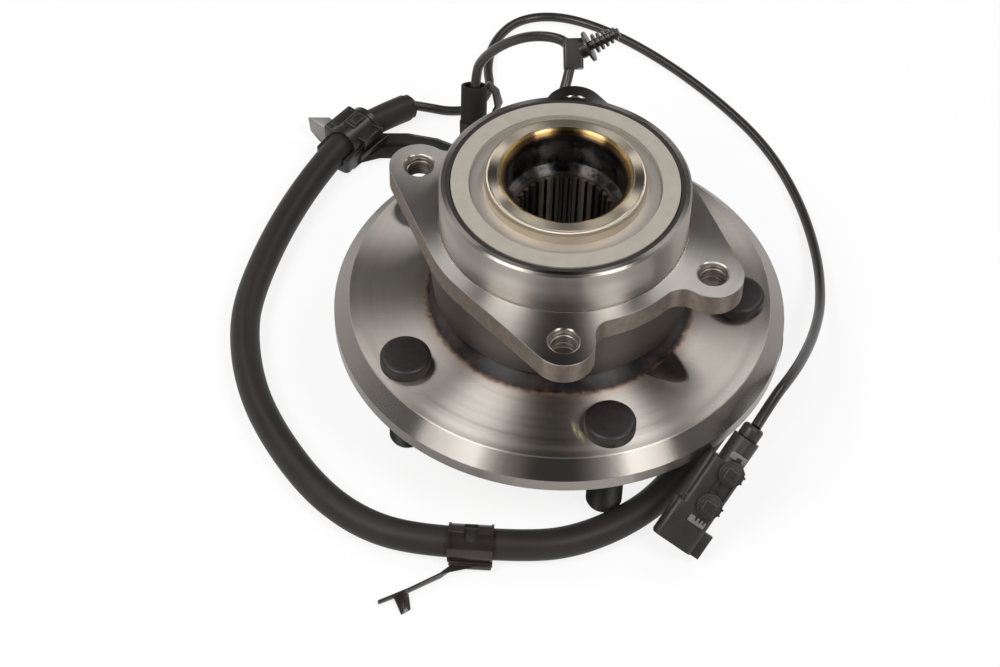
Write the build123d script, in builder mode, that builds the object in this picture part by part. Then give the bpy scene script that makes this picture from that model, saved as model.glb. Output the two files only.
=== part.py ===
"""Wheel hub bearing with its speed sensor lead.

Millimetres. The bearing's axis is Z and the origin lies on it, in the plane where the
four ears meet the knuckle. +Z points inboard, towards the drive shaft, so the wheel
studs point down and their ends are the lowest points of the part.
"""

import math
import os

from build123d import *

os.makedirs("parts", exist_ok=True)

# ---- driving dimensions -------------------------------------------------------------

# Carrier (outer ring): ears, spigot and barrel.
spigot_r = 47.0
ear_thickness = 9.6
ear_pitch_r = spigot_r + 14.2
ear_tip_r = 11.5
ear_angles = (155.0, 270.0, 334.0, 86.0)
ear_tangent_sides = (1, -1, 1, -1)  # which way each ear's straight flank leaves it
web_r = spigot_r + 6.0
web_corner_r = 8.0
ear_tap_r = 5.1
ear_tap_mouth_r = 6.2
spigot_height = 18.5
spigot_bevel = 0.8
undercut_r = spigot_r + 0.9
undercut_depth = 0.6
barrel_top_r = spigot_r + 5.0
barrel_foot_r = barrel_top_r - 2.5
barrel_length = 34.5
barrel_bevel = 1.0

# Ball rows.
ball_d = 12.7
ball_count = 12
row_pitch_r = 36.0
row_in_z = 6.0
row_out_z = -25.0
groove_clearance = 0.25
land_r = 40.3
cage_inner_r = 33.8
cage_outer_r = 38.2
cage_pocket_clearance = 0.2
cage_back = 8.15
cage_front = 1.0

# Wheel flange and spindle.
flange_r = 88.1
flange_face_z = -41.4
flange_back_z = -54.0
flange_bevel_r = 6.2
flange_bevel_z = 6.4
flange_back_bevel = 0.8
boss_r = 45.5
boss_foot_r = 51.0
boss_z = -35.3
boss_hollow_r = 9.0
pilot_r = 38.7
pilot_end_z = -68.0
pilot_bevel = 1.2
nut_pocket_r = 31.0
nut_pocket_z = -50.0
relief_r = 44.0
relief_depth = 1.5
scoop_angle = 317.0
scoop_start_r = 48.5
scoop_length = 17.0
scoop_radius = 28.0
scoop_depth = 1.4
spindle_seat_r = 27.0
spindle_step_z = -10.5
out_shoulder_r = 33.5
seal_land_r = 36.4
collar_r = 30.5
collar_top_z = 23.0
collar_mouth_r = 24.6
collar_round = 1.8

# Splined bore.
counterbore_r = 22.3
counterbore_mouth_z = 20.5
counterbore_floor_z = 7.0
spline_lead_r = 20.2
spline_lead_z = 5.5
spline_count = 33
spline_root_r = 18.9
spline_tip_r = 17.5

# Inner ring.
ring_face_z = 17.6
ring_shoulder_r = 34.0
ring_land_r = 36.0
ring_land_z = 12.7

# Wheel studs.
stud_circle_r = 139.7 / 2
stud_count = 5
stud_start_angle = 213.4
stud_r = 7.0
stud_shank_r = 7.35  # the serrated length that is pressed into the flange
stud_head_r = 9.7
stud_head_height = 5.3
stud_head_bevel = 1.1
stud_length = 33.0
stud_end_bevel = 1.4

# Seals.
seal_in_seat_r = 44.6
seal_in_seat_z = 9.0
seal_out_seat_r = 44.0
seal_out_seat_z = 2.4 - barrel_length
sheet = 0.8
slinger_r = 42.6
slinger_face_z = 18.7
slinger_foot_z = 13.4
case_in_z = 13.0
case_in_top_z = 17.4
case_bore_r = 38.2
rubber_top_z = 18.2
lip_gap = 0.3
rubber_skin = 0.8

# Tone ring and speed sensor.
tone_bore_r = spindle_seat_r + 2.4
tone_sleeve_r = 31.0
tone_rim_r = 39.0
tone_low_z = -16.2
tone_high_z = -10.6
tone_sleeve_z = -8.6
tone_teeth = 48
tone_slot_width = 2.3
tone_slot_depth = 2.2
sensor_angle = 91.5
sensor_z = -15.2
sensor_bore_r = 5.0
sensor_fit = 0.05
sensor_tip_r = 4.0
sensor_tip_at = 39.9
sensor_step_at = 41.6
pad_r = barrel_top_r + 2.0
pad_width = 34.0
pad_shift = -7.0
pad_low_z = -21.5
sensor_plate = 2.6
sensor_plate_height = 11.0
sensor_plate_length = 25.0
sensor_head_r = 5.2
sensor_head_end = 64.0
sensor_boss_r = 3.4
sensor_exit_at = 68.0
screw_offset = -13.5
screw_r = 3.0
screw_head_r = 4.8
screw_head_height = 4.0
screw_depth = 10.0
socket_r = 2.3
ring_groove_r = 4.3
ring_cord_r = 0.6
ring_at = 49.0

# The lead: cable, protective hose, clips and connector. It lies on the floor plane
# that the stud ends stand on.
floor_z = flange_back_z - stud_length
cable_d = 4.2
hose_d = 12.0
hose_z = floor_z + hose_d / 2
cable_z = floor_z + cable_d / 2
mouth = (-36.5, 120.0, -44.7)
mouth_axis = (0.0, 0.44, 0.898)
sleeve_length = 16.0
cable_seat = 0.3
sleeve_r = 5.6
sleeve_bore_r = 4.4


# ---- helpers ------------------------------------------------------------------------


def write(part, name):
    part.label = name
    export_step(part, f"parts/{name}.step")


def radial_plane(angle, z, at=0.0):
    """A plane whose normal points away from the axis at this angle, x to its side."""
    a = math.radians(angle)
    out = Vector(math.cos(a), math.sin(a), 0)
    return Plane(origin=(at * out.X, at * out.Y, z), x_dir=(-out.Y, out.X, 0), z_dir=out)


def corner_radii(points):
    """The largest arc that each corner's two runs leave room for."""
    radii = []
    for before, here, after in zip(points, points[1:], points[2:]):
        come = Vector(*here) - Vector(*before)
        go = Vector(*after) - Vector(*here)
        half_turn = math.radians(come.get_angle(go)) / 2
        radii.append(0.45 * min(come.length, go.length) / math.tan(half_turn))
    return radii


def report_route(name, points, radii, part, diameter, length):
    expected = math.pi * diameter**2 / 4 * length
    runs = [(Vector(*b) - Vector(*a)).length for a, b in zip(points, points[1:])]
    print(name, "length", round(length, 1), "volume ratio", round(part.volume / expected, 4))
    print("  radii", [round(r, 1) for r in radii])
    print("  runs", [round(r, 1) for r in runs])


def tube(points, diameter, name):
    """A cord's solid: straight runs joined by tangent arcs."""
    radii = corner_radii(points)
    with BuildPart() as cord:
        with BuildLine() as route:
            FilletPolyline(*points, radius=radii)
        path = route.wires()[0]
        with BuildSketch(Plane(origin=path @ 0, z_dir=path % 0)):
            Circle(diameter / 2)
        sweep(path=path)
    report_route(name, points, radii, cord.part, diameter, path.length)
    write(cord.part, name)


def along(start, direction, distance):
    unit = Vector(*direction).normalized()
    point = Vector(*start) + unit * distance
    return (point.X, point.Y, point.Z)


# ---- carrier ------------------------------------------------------------------------

ball_r = ball_d / 2
groove_r = ball_r + groove_clearance
outer_groove_r = row_pitch_r + groove_r
inner_groove_r = row_pitch_r - groove_r
land_angle = math.degrees(math.acos((land_r - row_pitch_r) / groove_r))
ear_points = [
    (ear_pitch_r * math.cos(math.radians(a)), ear_pitch_r * math.sin(math.radians(a)))
    for a in ear_angles
]


def ear_flank(angle, side):
    """The corners of the straight-flanked web between an ear and the round base."""
    lean = math.degrees(math.acos((web_r - ear_tip_r) / ear_pitch_r))
    a = math.radians(angle)
    n = math.radians(angle + side * lean)
    ear = Vector(ear_pitch_r * math.cos(a), ear_pitch_r * math.sin(a))
    normal = Vector(math.cos(n), math.sin(n))
    points = [Vector(0, 0), normal * web_r, ear + normal * ear_tip_r, ear]
    return [(p.X, p.Y) for p in points]


def ear_notch(angle, side):
    """The hollow corner between an ear's other flank and the round base.

    Its arc is tangent to both circles, so its centre is a corner of the triangle whose
    sides are the two sums of radii and the ear's pitch radius.
    """
    to_base = web_r + web_corner_r
    to_ear = ear_tip_r + web_corner_r
    swing = math.degrees(
        math.acos((ear_pitch_r**2 + to_base**2 - to_ear**2) / (2 * ear_pitch_r * to_base))
    )
    a = math.radians(angle)
    c = math.radians(angle - side * swing)
    ear = Vector(ear_pitch_r * math.cos(a), ear_pitch_r * math.sin(a))
    centre = Vector(to_base * math.cos(c), to_base * math.sin(c))
    on_base = centre * (web_r / to_base)
    on_ear = ear + (centre - ear) * (ear_tip_r / to_ear)
    return centre, on_base, on_ear, ear


with BuildPart() as outer_ring:
    with BuildSketch(Plane.XZ) as wall:
        with BuildLine():
            top = Polyline(
                (outer_groove_r, row_in_z),
                (outer_groove_r, seal_in_seat_z),
                (seal_in_seat_r, seal_in_seat_z),
                (seal_in_seat_r, spigot_height),
                (spigot_r - spigot_bevel, spigot_height),
                (spigot_r, spigot_height - spigot_bevel),
                (spigot_r, -undercut_depth),
                (undercut_r, -undercut_depth),
                (undercut_r, 0),
                (barrel_top_r, 0),
                (barrel_top_r, -ear_thickness),
                (barrel_foot_r, -barrel_length + barrel_bevel),
                (barrel_foot_r - barrel_bevel, -barrel_length),
                (seal_out_seat_r, -barrel_length),
                (seal_out_seat_r, seal_out_seat_z),
                (outer_groove_r, seal_out_seat_z),
                (outer_groove_r, row_out_z),
            )
            low_arc = CenterArc((row_pitch_r, row_out_z), groove_r, 0, land_angle)
            high_arc = CenterArc((row_pitch_r, row_in_z), groove_r, -land_angle, land_angle)
            Line(low_arc @ 1, high_arc @ 0)
        make_face()
    revolve(axis=Axis.Z)
    with BuildSketch(Plane.XY):
        Circle(web_r)
        with Locations(*ear_points):
            Circle(ear_tip_r)
        for angle, side in zip(ear_angles, ear_tangent_sides):
            Polygon(*ear_flank(angle, side), align=None)
            centre, on_base, on_ear, ear = ear_notch(angle, side)
            with BuildLine():
                hollow = RadiusArc(on_base, on_ear, web_corner_r * side)
                Line(hollow @ 1, ear)
                Line(ear, (0, 0))
                Line((0, 0), hollow @ 0)
            make_face()
        Circle(barrel_top_r - 1, mode=Mode.SUBTRACT)
    extrude(amount=-ear_thickness)
    with BuildSketch(radial_plane(sensor_angle, sensor_z, pad_r)):
        with Locations((pad_shift, (pad_low_z - ear_thickness) / 2 - sensor_z)):
            Rectangle(pad_width, -ear_thickness - pad_low_z)
    extrude(amount=-(pad_r - land_r - 6))
    with BuildSketch(radial_plane(sensor_angle, sensor_z, pad_r)):
        Circle(sensor_bore_r)
    extrude(amount=-(pad_r - row_pitch_r), mode=Mode.SUBTRACT)
    with BuildSketch(radial_plane(sensor_angle, sensor_z, pad_r)):
        with Locations((screw_offset, 0)):
            Circle(screw_r)
    extrude(amount=-screw_depth - 1, mode=Mode.SUBTRACT)
    with BuildSketch(Plane.XY):
        with Locations(*ear_points):
            Circle(ear_tap_r)
    extrude(amount=-ear_thickness - 1, mode=Mode.SUBTRACT)
    tap_mouths = outer_ring.edges().filter_by(
        lambda e: e.geom_type == GeomType.CIRCLE
        and abs(e.radius - ear_tap_r) < 0.01
        and abs(e.center().Z) < 0.01
    )
    chamfer(tap_mouths, ear_tap_mouth_r - ear_tap_r)
write(outer_ring.part, "outer_ring")

# ---- hub spindle and wheel flange -----------------------------------------------------

shoulder_angle = math.degrees(math.acos((out_shoulder_r - row_pitch_r) / groove_r))


def spline_outline():
    """The splined hole: each tooth has a flat tip and a flat root."""
    points = []
    step = 2 * math.pi / spline_count
    corners = ((-0.36, spline_root_r), (-0.19, spline_tip_r), (0.19, spline_tip_r), (0.36, spline_root_r))
    for tooth in range(spline_count):
        for share, r in corners:
            a = step * (tooth + share)
            points.append((r * math.cos(a), r * math.sin(a)))
    return points


with BuildPart() as hub_flange:
    with BuildSketch(Plane.XZ):
        with BuildLine():
            groove = CenterArc(
                (row_pitch_r, row_out_z), groove_r, 180, 180 - shoulder_angle
            )
            down = Polyline(
                groove @ 1,
                (seal_land_r, (groove @ 1).Y - 0.5),
                (seal_land_r, boss_z),
                (boss_r, boss_z),
            )
            hollow = RadiusArc((boss_r, boss_z), (boss_foot_r, flange_face_z), boss_hollow_r)
            Polyline(
                (boss_foot_r, flange_face_z),
                (flange_r - flange_bevel_r, flange_face_z),
                (flange_r, flange_face_z - flange_bevel_z),
                (flange_r, flange_back_z + flange_back_bevel),
                (flange_r - flange_back_bevel, flange_back_z),
                (relief_r, flange_back_z),
                (relief_r, flange_back_z + relief_depth),
                (pilot_r, flange_back_z + relief_depth),
                (pilot_r, pilot_end_z + pilot_bevel),
                (pilot_r - pilot_bevel, pilot_end_z),
                (nut_pocket_r + pilot_bevel, pilot_end_z),
                (nut_pocket_r, pilot_end_z + pilot_bevel),
                (nut_pocket_r, nut_pocket_z),
                (spline_root_r + pilot_bevel, nut_pocket_z),
                (spline_root_r, nut_pocket_z + pilot_bevel),
                (spline_root_r, spline_lead_z - (spline_lead_r - spline_root_r)),
                (spline_lead_r, spline_lead_z),
                (counterbore_r, counterbore_floor_z),
                (counterbore_r, counterbore_mouth_z),
                (collar_mouth_r, collar_top_z),
                (collar_r - collar_round, collar_top_z),
            )
            RadiusArc(
                (collar_r - collar_round, collar_top_z),
                (collar_r, collar_top_z - collar_round),
                collar_round,
            )
            Polyline(
                (collar_r, collar_top_z - collar_round),
                (collar_r, ring_face_z),
                (spindle_seat_r, ring_face_z),
                (spindle_seat_r, spindle_step_z),
                (inner_groove_r, spindle_step_z),
                groove @ 0,
            )
        make_face()
    revolve(axis=Axis.Z)
    with BuildSketch(Plane.XY.offset(nut_pocket_z + pilot_bevel)):
        Circle(spline_root_r + 0.4)
        Polygon(*spline_outline(), align=None, mode=Mode.SUBTRACT)
    extrude(amount=spline_lead_z - nut_pocket_z - 3.4)
    with BuildSketch(Plane.XY.offset(flange_face_z)):
        with PolarLocations(stud_circle_r, stud_count, start_angle=stud_start_angle):
            Circle(stud_shank_r)
    extrude(amount=flange_back_z - flange_face_z, mode=Mode.SUBTRACT)
    scoop_rise = math.atan2(scoop_depth, scoop_length - 1)
    scoop_way = math.radians(scoop_angle)
    scoop_plane = Plane(
        origin=(
            scoop_start_r * math.cos(scoop_way),
            scoop_start_r * math.sin(scoop_way),
            flange_face_z + scoop_radius - scoop_depth,
        ),
        z_dir=(
            math.cos(scoop_way) * math.cos(scoop_rise),
            math.sin(scoop_way) * math.cos(scoop_rise),
            math.sin(scoop_rise),
        ),
    )
    with BuildSketch(scoop_plane):
        Circle(scoop_radius)
    extrude(amount=scoop_length, mode=Mode.SUBTRACT)
write(hub_flange.part, "hub_flange")

# ---- inner ring -----------------------------------------------------------------------

ring_angle = math.degrees(math.acos((ring_shoulder_r - row_pitch_r) / groove_r))

with BuildPart() as inner_ring:
    with BuildSketch(Plane.XZ):
        with BuildLine():
            groove = CenterArc((row_pitch_r, row_in_z), groove_r, 180, ring_angle - 180)
            Polyline(
                groove @ 1,
                (ring_land_r, ring_land_z),
                (ring_land_r, ring_face_z),
                (spindle_seat_r, ring_face_z),
                (spindle_seat_r, spindle_step_z),
                (inner_groove_r, spindle_step_z),
                groove @ 0,
            )
        make_face()
    revolve(axis=Axis.Z)
write(inner_ring.part, "inner_ring")

# ---- ball rows and cages ----------------------------------------------------------------

for name, row_z, back_side in (("inboard", row_in_z, -1), ("outboard", row_out_z, 1)):
    with BuildPart(Plane.XY.offset(row_z)) as balls:
        with PolarLocations(row_pitch_r, ball_count):
            Sphere(ball_r)
    write(balls.part, f"balls_{name}")
    with BuildPart() as cage:
        with BuildSketch(Plane.XY.offset(row_z - back_side * cage_front)):
            Circle(cage_outer_r)
            Circle(cage_inner_r, mode=Mode.SUBTRACT)
        extrude(amount=back_side * (cage_front + cage_back))
        with Locations((0, 0, row_z)):
            with PolarLocations(row_pitch_r, ball_count):
                Sphere(ball_r + cage_pocket_clearance, mode=Mode.SUBTRACT)
    write(cage.part, f"cage_{name}")

# ---- seals ------------------------------------------------------------------------------

with BuildPart() as seal_slinger:
    with BuildSketch(Plane.XZ):
        with BuildLine():
            Polyline(
                (ring_land_r, slinger_foot_z),
                (ring_land_r + sheet, slinger_foot_z),
                (ring_land_r + sheet, slinger_face_z - sheet),
                (slinger_r, slinger_face_z - sheet),
                (slinger_r, slinger_face_z),
                (ring_land_r, slinger_face_z),
                close=True,
            )
        make_face()
    revolve(axis=Axis.Z)
write(seal_slinger.part, "seal_slinger")

with BuildPart() as inboard_seal_case:
    with BuildSketch(Plane.XZ):
        with BuildLine():
            Polyline(
                (case_bore_r, case_in_z),
                (seal_in_seat_r, case_in_z),
                (seal_in_seat_r, case_in_top_z),
                (seal_in_seat_r - sheet, case_in_top_z),
                (seal_in_seat_r - sheet, case_in_z + sheet),
                (case_bore_r, case_in_z + sheet),
                close=True,
            )
        make_face()
    revolve(axis=Axis.Z)
write(inboard_seal_case.part, "inboard_seal_case")

with BuildPart() as inboard_seal_rubber:
    lip_r = ring_land_r + sheet + lip_gap
    rubber_in_r = slinger_r + lip_gap + 0.1
    with BuildSketch(Plane.XZ):
        with BuildLine():
            Polyline(
                (rubber_in_r, rubber_top_z),
                (seal_in_seat_r, rubber_top_z),
                (seal_in_seat_r, case_in_top_z),
                (seal_in_seat_r - sheet, case_in_top_z),
                (seal_in_seat_r - sheet, case_in_z + sheet),
                (case_bore_r, case_in_z + sheet),
                (case_bore_r, case_in_z),
                (lip_r, case_in_z + 0.4),
                (lip_r, case_in_z + sheet + rubber_skin + 0.6),
                (lip_r + 0.9, case_in_z + sheet + rubber_skin),
                (rubber_in_r, case_in_z + sheet + rubber_skin),
                close=True,
            )
        make_face()
    revolve(axis=Axis.Z)
write(inboard_seal_rubber.part, "inboard_seal_rubber")

case_out_z = seal_out_seat_z - 0.1

with BuildPart() as outboard_seal_case:
    with BuildSketch(Plane.XZ):
        with BuildLine():
            Polyline(
                (case_bore_r, case_out_z),
                (seal_out_seat_r, case_out_z),
                (seal_out_seat_r, -barrel_length + 0.1),
                (seal_out_seat_r - sheet, -barrel_length + 0.1),
                (seal_out_seat_r - sheet, case_out_z - sheet),
                (case_bore_r, case_out_z - sheet),
                close=True,
            )
        make_face()
    revolve(axis=Axis.Z)
write(outboard_seal_case.part, "outboard_seal_case")

with BuildPart() as outboard_seal_rubber:
    land_lip_r = seal_land_r + lip_gap
    skin_z = case_out_z - sheet - rubber_skin
    with BuildSketch(Plane.XZ):
        with BuildLine():
            Polyline(
                (case_bore_r, case_out_z),
                (case_bore_r, case_out_z - sheet),
                (seal_out_seat_r - sheet, case_out_z - sheet),
                (seal_out_seat_r - sheet, skin_z),
                (case_bore_r + 3.4, skin_z),
                (case_bore_r + 4.4, boss_z + lip_gap),
                (case_bore_r + 3.6, boss_z + lip_gap),
                (case_bore_r + 2.2, skin_z),
                (land_lip_r + 0.8, skin_z),
                (land_lip_r, skin_z - 0.6),
                (land_lip_r, case_out_z - 0.4),
                close=True,
            )
        make_face()
    revolve(axis=Axis.Z)
write(outboard_seal_rubber.part, "outboard_seal_rubber")

# ---- tone ring --------------------------------------------------------------------------

with BuildPart() as tone_ring:
    with BuildSketch(Plane.XZ):
        with BuildLine():
            Polyline(
                (tone_bore_r, tone_low_z),
                (tone_rim_r, tone_low_z),
                (tone_rim_r, tone_high_z),
                (tone_sleeve_r, tone_high_z),
                (tone_sleeve_r, tone_sleeve_z),
                (tone_bore_r, tone_sleeve_z),
                close=True,
            )
        make_face()
    revolve(axis=Axis.Z)
    with BuildSketch(Plane.XY.offset(tone_low_z)):
        with PolarLocations(tone_rim_r, tone_teeth):
            Rectangle(2 * tone_slot_depth, tone_slot_width)
    extrude(amount=tone_high_z - tone_low_z, mode=Mode.SUBTRACT)
write(tone_ring.part, "tone_ring")

# ---- wheel studs ------------------------------------------------------------------------

with BuildPart(Plane.XY.offset(flange_face_z)) as wheel_studs:
    with PolarLocations(stud_circle_r, stud_count, start_angle=stud_start_angle):
        Cylinder(stud_head_r, stud_head_height, align=(Align.CENTER, Align.CENTER, Align.MIN))
        Cylinder(stud_r, flange_face_z - floor_z, align=(Align.CENTER, Align.CENTER, Align.MAX))
        Cylinder(
            stud_shank_r,
            flange_face_z - flange_back_z,
            align=(Align.CENTER, Align.CENTER, Align.MAX),
        )
    chamfer(wheel_studs.edges().group_by(Axis.Z)[-1], stud_head_bevel)
    chamfer(wheel_studs.edges().group_by(Axis.Z)[0], stud_end_bevel)
write(wheel_studs.part, "wheel_studs")

# ---- speed sensor -----------------------------------------------------------------------

with BuildPart() as speed_sensor:
    with BuildSketch(radial_plane(sensor_angle, sensor_z, sensor_tip_at)):
        Circle(sensor_tip_r)
    extrude(amount=pad_r - sensor_tip_at)
    with BuildSketch(radial_plane(sensor_angle, sensor_z, sensor_step_at)):
        Circle(sensor_bore_r - sensor_fit)
    extrude(amount=pad_r - sensor_step_at)
    with BuildSketch(radial_plane(sensor_angle, sensor_z, pad_r)):
        with Locations((screw_offset / 2, 0)):
            SlotOverall(sensor_plate_length, sensor_plate_height)
    extrude(amount=sensor_plate)
    with BuildSketch(radial_plane(sensor_angle, sensor_z, pad_r)):
        Circle(sensor_head_r)
    extrude(amount=sensor_head_end - pad_r)
    with BuildSketch(radial_plane(sensor_angle, sensor_z, sensor_head_end)):
        Circle(sensor_boss_r)
    extrude(amount=sensor_exit_at - sensor_head_end)
    with BuildSketch(radial_plane(sensor_angle, sensor_z, pad_r)):
        with Locations((screw_offset, 0)):
            Circle(screw_r)
    extrude(amount=sensor_plate, mode=Mode.SUBTRACT)
    with BuildSketch(radial_plane(sensor_angle, sensor_z, ring_at - ring_cord_r)):
        Circle(sensor_bore_r)
        Circle(ring_groove_r, mode=Mode.SUBTRACT)
    extrude(amount=2 * ring_cord_r, mode=Mode.SUBTRACT)
write(speed_sensor.part, "speed_sensor")

with BuildPart() as sensor_o_ring:
    with BuildSketch(radial_plane(sensor_angle, sensor_z, ring_at - ring_cord_r + 0.05)):
        Circle(sensor_bore_r - 0.02)
        Circle(ring_groove_r, mode=Mode.SUBTRACT)
    extrude(amount=2 * ring_cord_r - 0.1)
write(sensor_o_ring.part, "sensor_o_ring")

with BuildPart() as sensor_screw:
    with BuildSketch(radial_plane(sensor_angle, sensor_z, pad_r + sensor_plate)):
        with Locations((screw_offset, 0)):
            Circle(screw_head_r)
    extrude(amount=screw_head_height)
    with BuildSketch(radial_plane(sensor_angle, sensor_z, pad_r + sensor_plate)):
        with Locations((screw_offset, 0)):
            Circle(screw_r)
    extrude(amount=-screw_depth - sensor_plate)
    with BuildSketch(radial_plane(sensor_angle, sensor_z, pad_r + sensor_plate + screw_head_height)):
        with Locations((screw_offset, 0)):
            RegularPolygon(socket_r, 6)
    extrude(amount=-screw_head_height / 2, mode=Mode.SUBTRACT)
write(sensor_screw.part, "sensor_screw")

# ---- lead: cables and protective hose -----------------------------------------------------

sensor_way = math.radians(sensor_angle)
sensor_exit = (
    sensor_exit_at * math.cos(sensor_way),
    sensor_exit_at * math.sin(sensor_way),
    sensor_z,
)
sensor_cable_points = [
    sensor_exit,
    (-2.0, 75.0, -15.0),
    (0.9, 82.2, -10.6),
    (3.8, 92.0, -0.6),
    (0.8, 97.6, 1.2),
    (-6.3, 101.8, 0.0),
    (-15.5, 105.9, -4.2),
    (-25.0, 110.8, -13.2),
    (-32.6, 116.0, -25.4),
    (-36.2, 120.6, -37.6),
    along(mouth, mouth_axis, cable_seat - sleeve_length),
]
tube(sensor_cable_points, cable_d, "sensor_cable")

hose_top = along(mouth, mouth_axis, -sleeve_length)
hose_points = [
    (-67.7, 143.1, hose_z),
    (-86.5, 128.4, -78.4),
    (-104.0, 99.0, -78.6),
    (-120.0, 61.0, hose_z),
    (-127.4, 22.0, hose_z),
    (-121.8, -18.0, hose_z),
    (-105.0, -52.0, hose_z),
    (-81.0, -80.0, hose_z),
    (-50.0, -92.0, -80.2),
    (-20.0, -94.6, -79.9),
    (1.0, -91.4, hose_z),
    (19.5, -84.2, hose_z),
    (38.5, -76.2, hose_z),
    (55.5, -65.0, hose_z),
    (70.5, -48.5, -80.0),
    (80.5, -29.0, -74.5),
    (85.4, -5.0, -68.0),
    (84.0, 17.5, -69.5),
    (75.5, 40.5, -77.5),
    (61.0, 60.0, hose_z),
    (39.0, 76.4, hose_z),
    (11.0, 88.6, hose_z),
    (-11.0, 94.8, -79.8),
    (-25.0, 98.9, -77.8),
    (-33.4, 103.6, -73.0),
    along(hose_top, mouth_axis, -9),
    hose_top,
]
tube(hose_points, hose_d, "protective_hose")

hose_end_way = Vector(*hose_points[0]) - Vector(*hose_points[1])
hose_end_way = (hose_end_way.X, hose_end_way.Y, hose_end_way.Z)
lead_cable_end = (73.4, -61.6, -46.1)
lead_cable_points = [
    along(hose_points[0], hose_end_way, 4),
    (-57.0, 148.4, -83.4),
    (-47.5, 148.2, cable_z),
    (-36.0, 150.4, cable_z),
    (-29.6, 160.5, cable_z),
    (-32.0, 176.0, cable_z),
    (-28.8, 194.5, cable_z),
    (-17.8, 209.3, cable_z),
    (1.0, 212.4, cable_z),
    (23.0, 203.4, cable_z),
    (47.5, 184.5, cable_z),
    (71.0, 159.5, cable_z),
    (92.0, 130.5, cable_z),
    (104.6, 98.0, cable_z),
    (110.2, 62.0, -82.6),
    (108.6, 29.0, -75.6),
    (102.6, 2.6, -65.0),
    (95.0, -20.6, -53.4),
    (88.2, -37.0, -45.6),
    (80.8, -50.0, -42.0),
    lead_cable_end,
]
tube(lead_cable_points, cable_d, "lead_cable")

with BuildPart() as hose_mouth_sleeve:
    with BuildSketch(Plane(origin=hose_top, z_dir=mouth_axis)):
        Circle(sleeve_r)
        Circle(sleeve_bore_r, mode=Mode.SUBTRACT)
    extrude(amount=sleeve_length)
write(hose_mouth_sleeve.part, "hose_mouth_sleeve")

with BuildPart() as hose_end_plug:
    with BuildSketch(Plane(origin=hose_points[0], z_dir=hose_end_way)):
        Circle(hose_d / 2 - 0.6)
    extrude(amount=4)
    chamfer(hose_end_plug.faces().sort_by(Axis((0, 0, 0), hose_end_way))[-1].edges(), 1.5)
write(hose_end_plug.part, "hose_end_plug")

# A short bent strap holds the sleeve on the side away from the clip.
with BuildPart() as mouth_strap:
    strap_foot = along(mouth, mouth_axis, -9)
    with BuildSketch(Plane(origin=strap_foot, x_dir=(1, 0, 0), z_dir=mouth_axis)):
        Circle(sleeve_r + 1.0)
        Circle(sleeve_r, mode=Mode.SUBTRACT)
        with BuildLine():
            Polyline(
                (sleeve_r + 0.5, -0.5),
                (sleeve_r + 5.0, -0.5),
                (sleeve_r + 9.0, -5.0),
                (sleeve_r + 9.8, -4.2),
                (sleeve_r + 5.4, 0.5),
                (sleeve_r + 0.5, 0.5),
                close=True,
            )
        make_face()
    extrude(amount=6)
write(mouth_strap.part, "mouth_strap")

# ---- fir-tree clip on the sensor cable ------------------------------------------------------

tree_clip_at = sensor_cable_points[3]
tree_clip_way = (-0.05, 0.75, 0.66)
tree_way = (0.87, 0.15, 0.46)
clamp_size = (8.0, 7.0)
clamp_length = 12.0
tree_root = along(tree_clip_at, tree_way, 3.4)

with BuildPart() as fir_tree_clip:
    with BuildSketch(Plane(origin=along(tree_clip_at, tree_clip_way, -clamp_length / 2), x_dir=(1, 0, 0),
                           z_dir=tree_clip_way)):
        RectangleRounded(*clamp_size, 1.2)
    extrude(amount=clamp_length)
    for start, r, length in ((0, 3.6, 3.2), (3.2, 6.4, 1.0), (4.2, 1.9, 13.0)):
        with BuildSketch(Plane(origin=along(tree_root, tree_way, start), z_dir=tree_way)):
            Circle(r)
        extrude(amount=length)
    for rib in range(5):
        with BuildSketch(Plane(origin=along(tree_root, tree_way, 6.2 + 2.2 * rib), z_dir=tree_way)):
            Circle(4.0 - 0.3 * rib)
        extrude(amount=0.9)
    with BuildSketch(Plane(origin=along(tree_clip_at, tree_clip_way, -clamp_length), z_dir=tree_clip_way)):
        Circle(cable_d / 2)
    extrude(amount=2 * clamp_length, mode=Mode.SUBTRACT)
write(fir_tree_clip.part, "fir_tree_clip")

# ---- clip 1: plastic block and steel bracket near the hose's end ------------------------------

clip1_at = (-92.0, 119.6, -78.4)
clip1_way = (-0.52, -0.854, 0)
clip1_length = 24.0
clip1_width = 17.0
clip1_low_z = -85.5
clip1_split_z = -78.4
clip1_high_z = -71.4
clip_bore_r = 6.3


def lying(centre, way, z):
    """A horizontal plane through a centre, its x along a piece that lies on the floor."""
    return Plane(origin=(centre[0], centre[1], z), x_dir=way, z_dir=(0, 0, 1))


with BuildPart() as clip1_base:
    with BuildSketch(lying(clip1_at, clip1_way, clip1_low_z)):
        RectangleRounded(clip1_length, clip1_width, 2)
    extrude(amount=clip1_split_z - clip1_low_z)
    with BuildSketch(Plane(origin=along(clip1_at, clip1_way, -clip1_length), z_dir=clip1_way)):
        Circle(clip_bore_r)
    extrude(amount=2 * clip1_length, mode=Mode.SUBTRACT)
write(clip1_base.part, "clip1_base")

with BuildPart() as clip1_cover:
    with BuildSketch(lying(clip1_at, clip1_way, clip1_split_z)):
        RectangleRounded(clip1_length, clip1_width, 2)
    extrude(amount=clip1_high_z - clip1_split_z)
    with BuildSketch(lying(clip1_at, clip1_way, clip1_high_z)):
        with Locations((-4, -2)):
            RectangleRounded(12, 9, 1.5)
    extrude(amount=2.2)
    with BuildSketch(Plane(origin=along(clip1_at, clip1_way, -clip1_length), z_dir=clip1_way)):
        Circle(clip_bore_r)
    extrude(amount=2 * clip1_length, mode=Mode.SUBTRACT)
write(clip1_cover.part, "clip1_cover")

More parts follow.
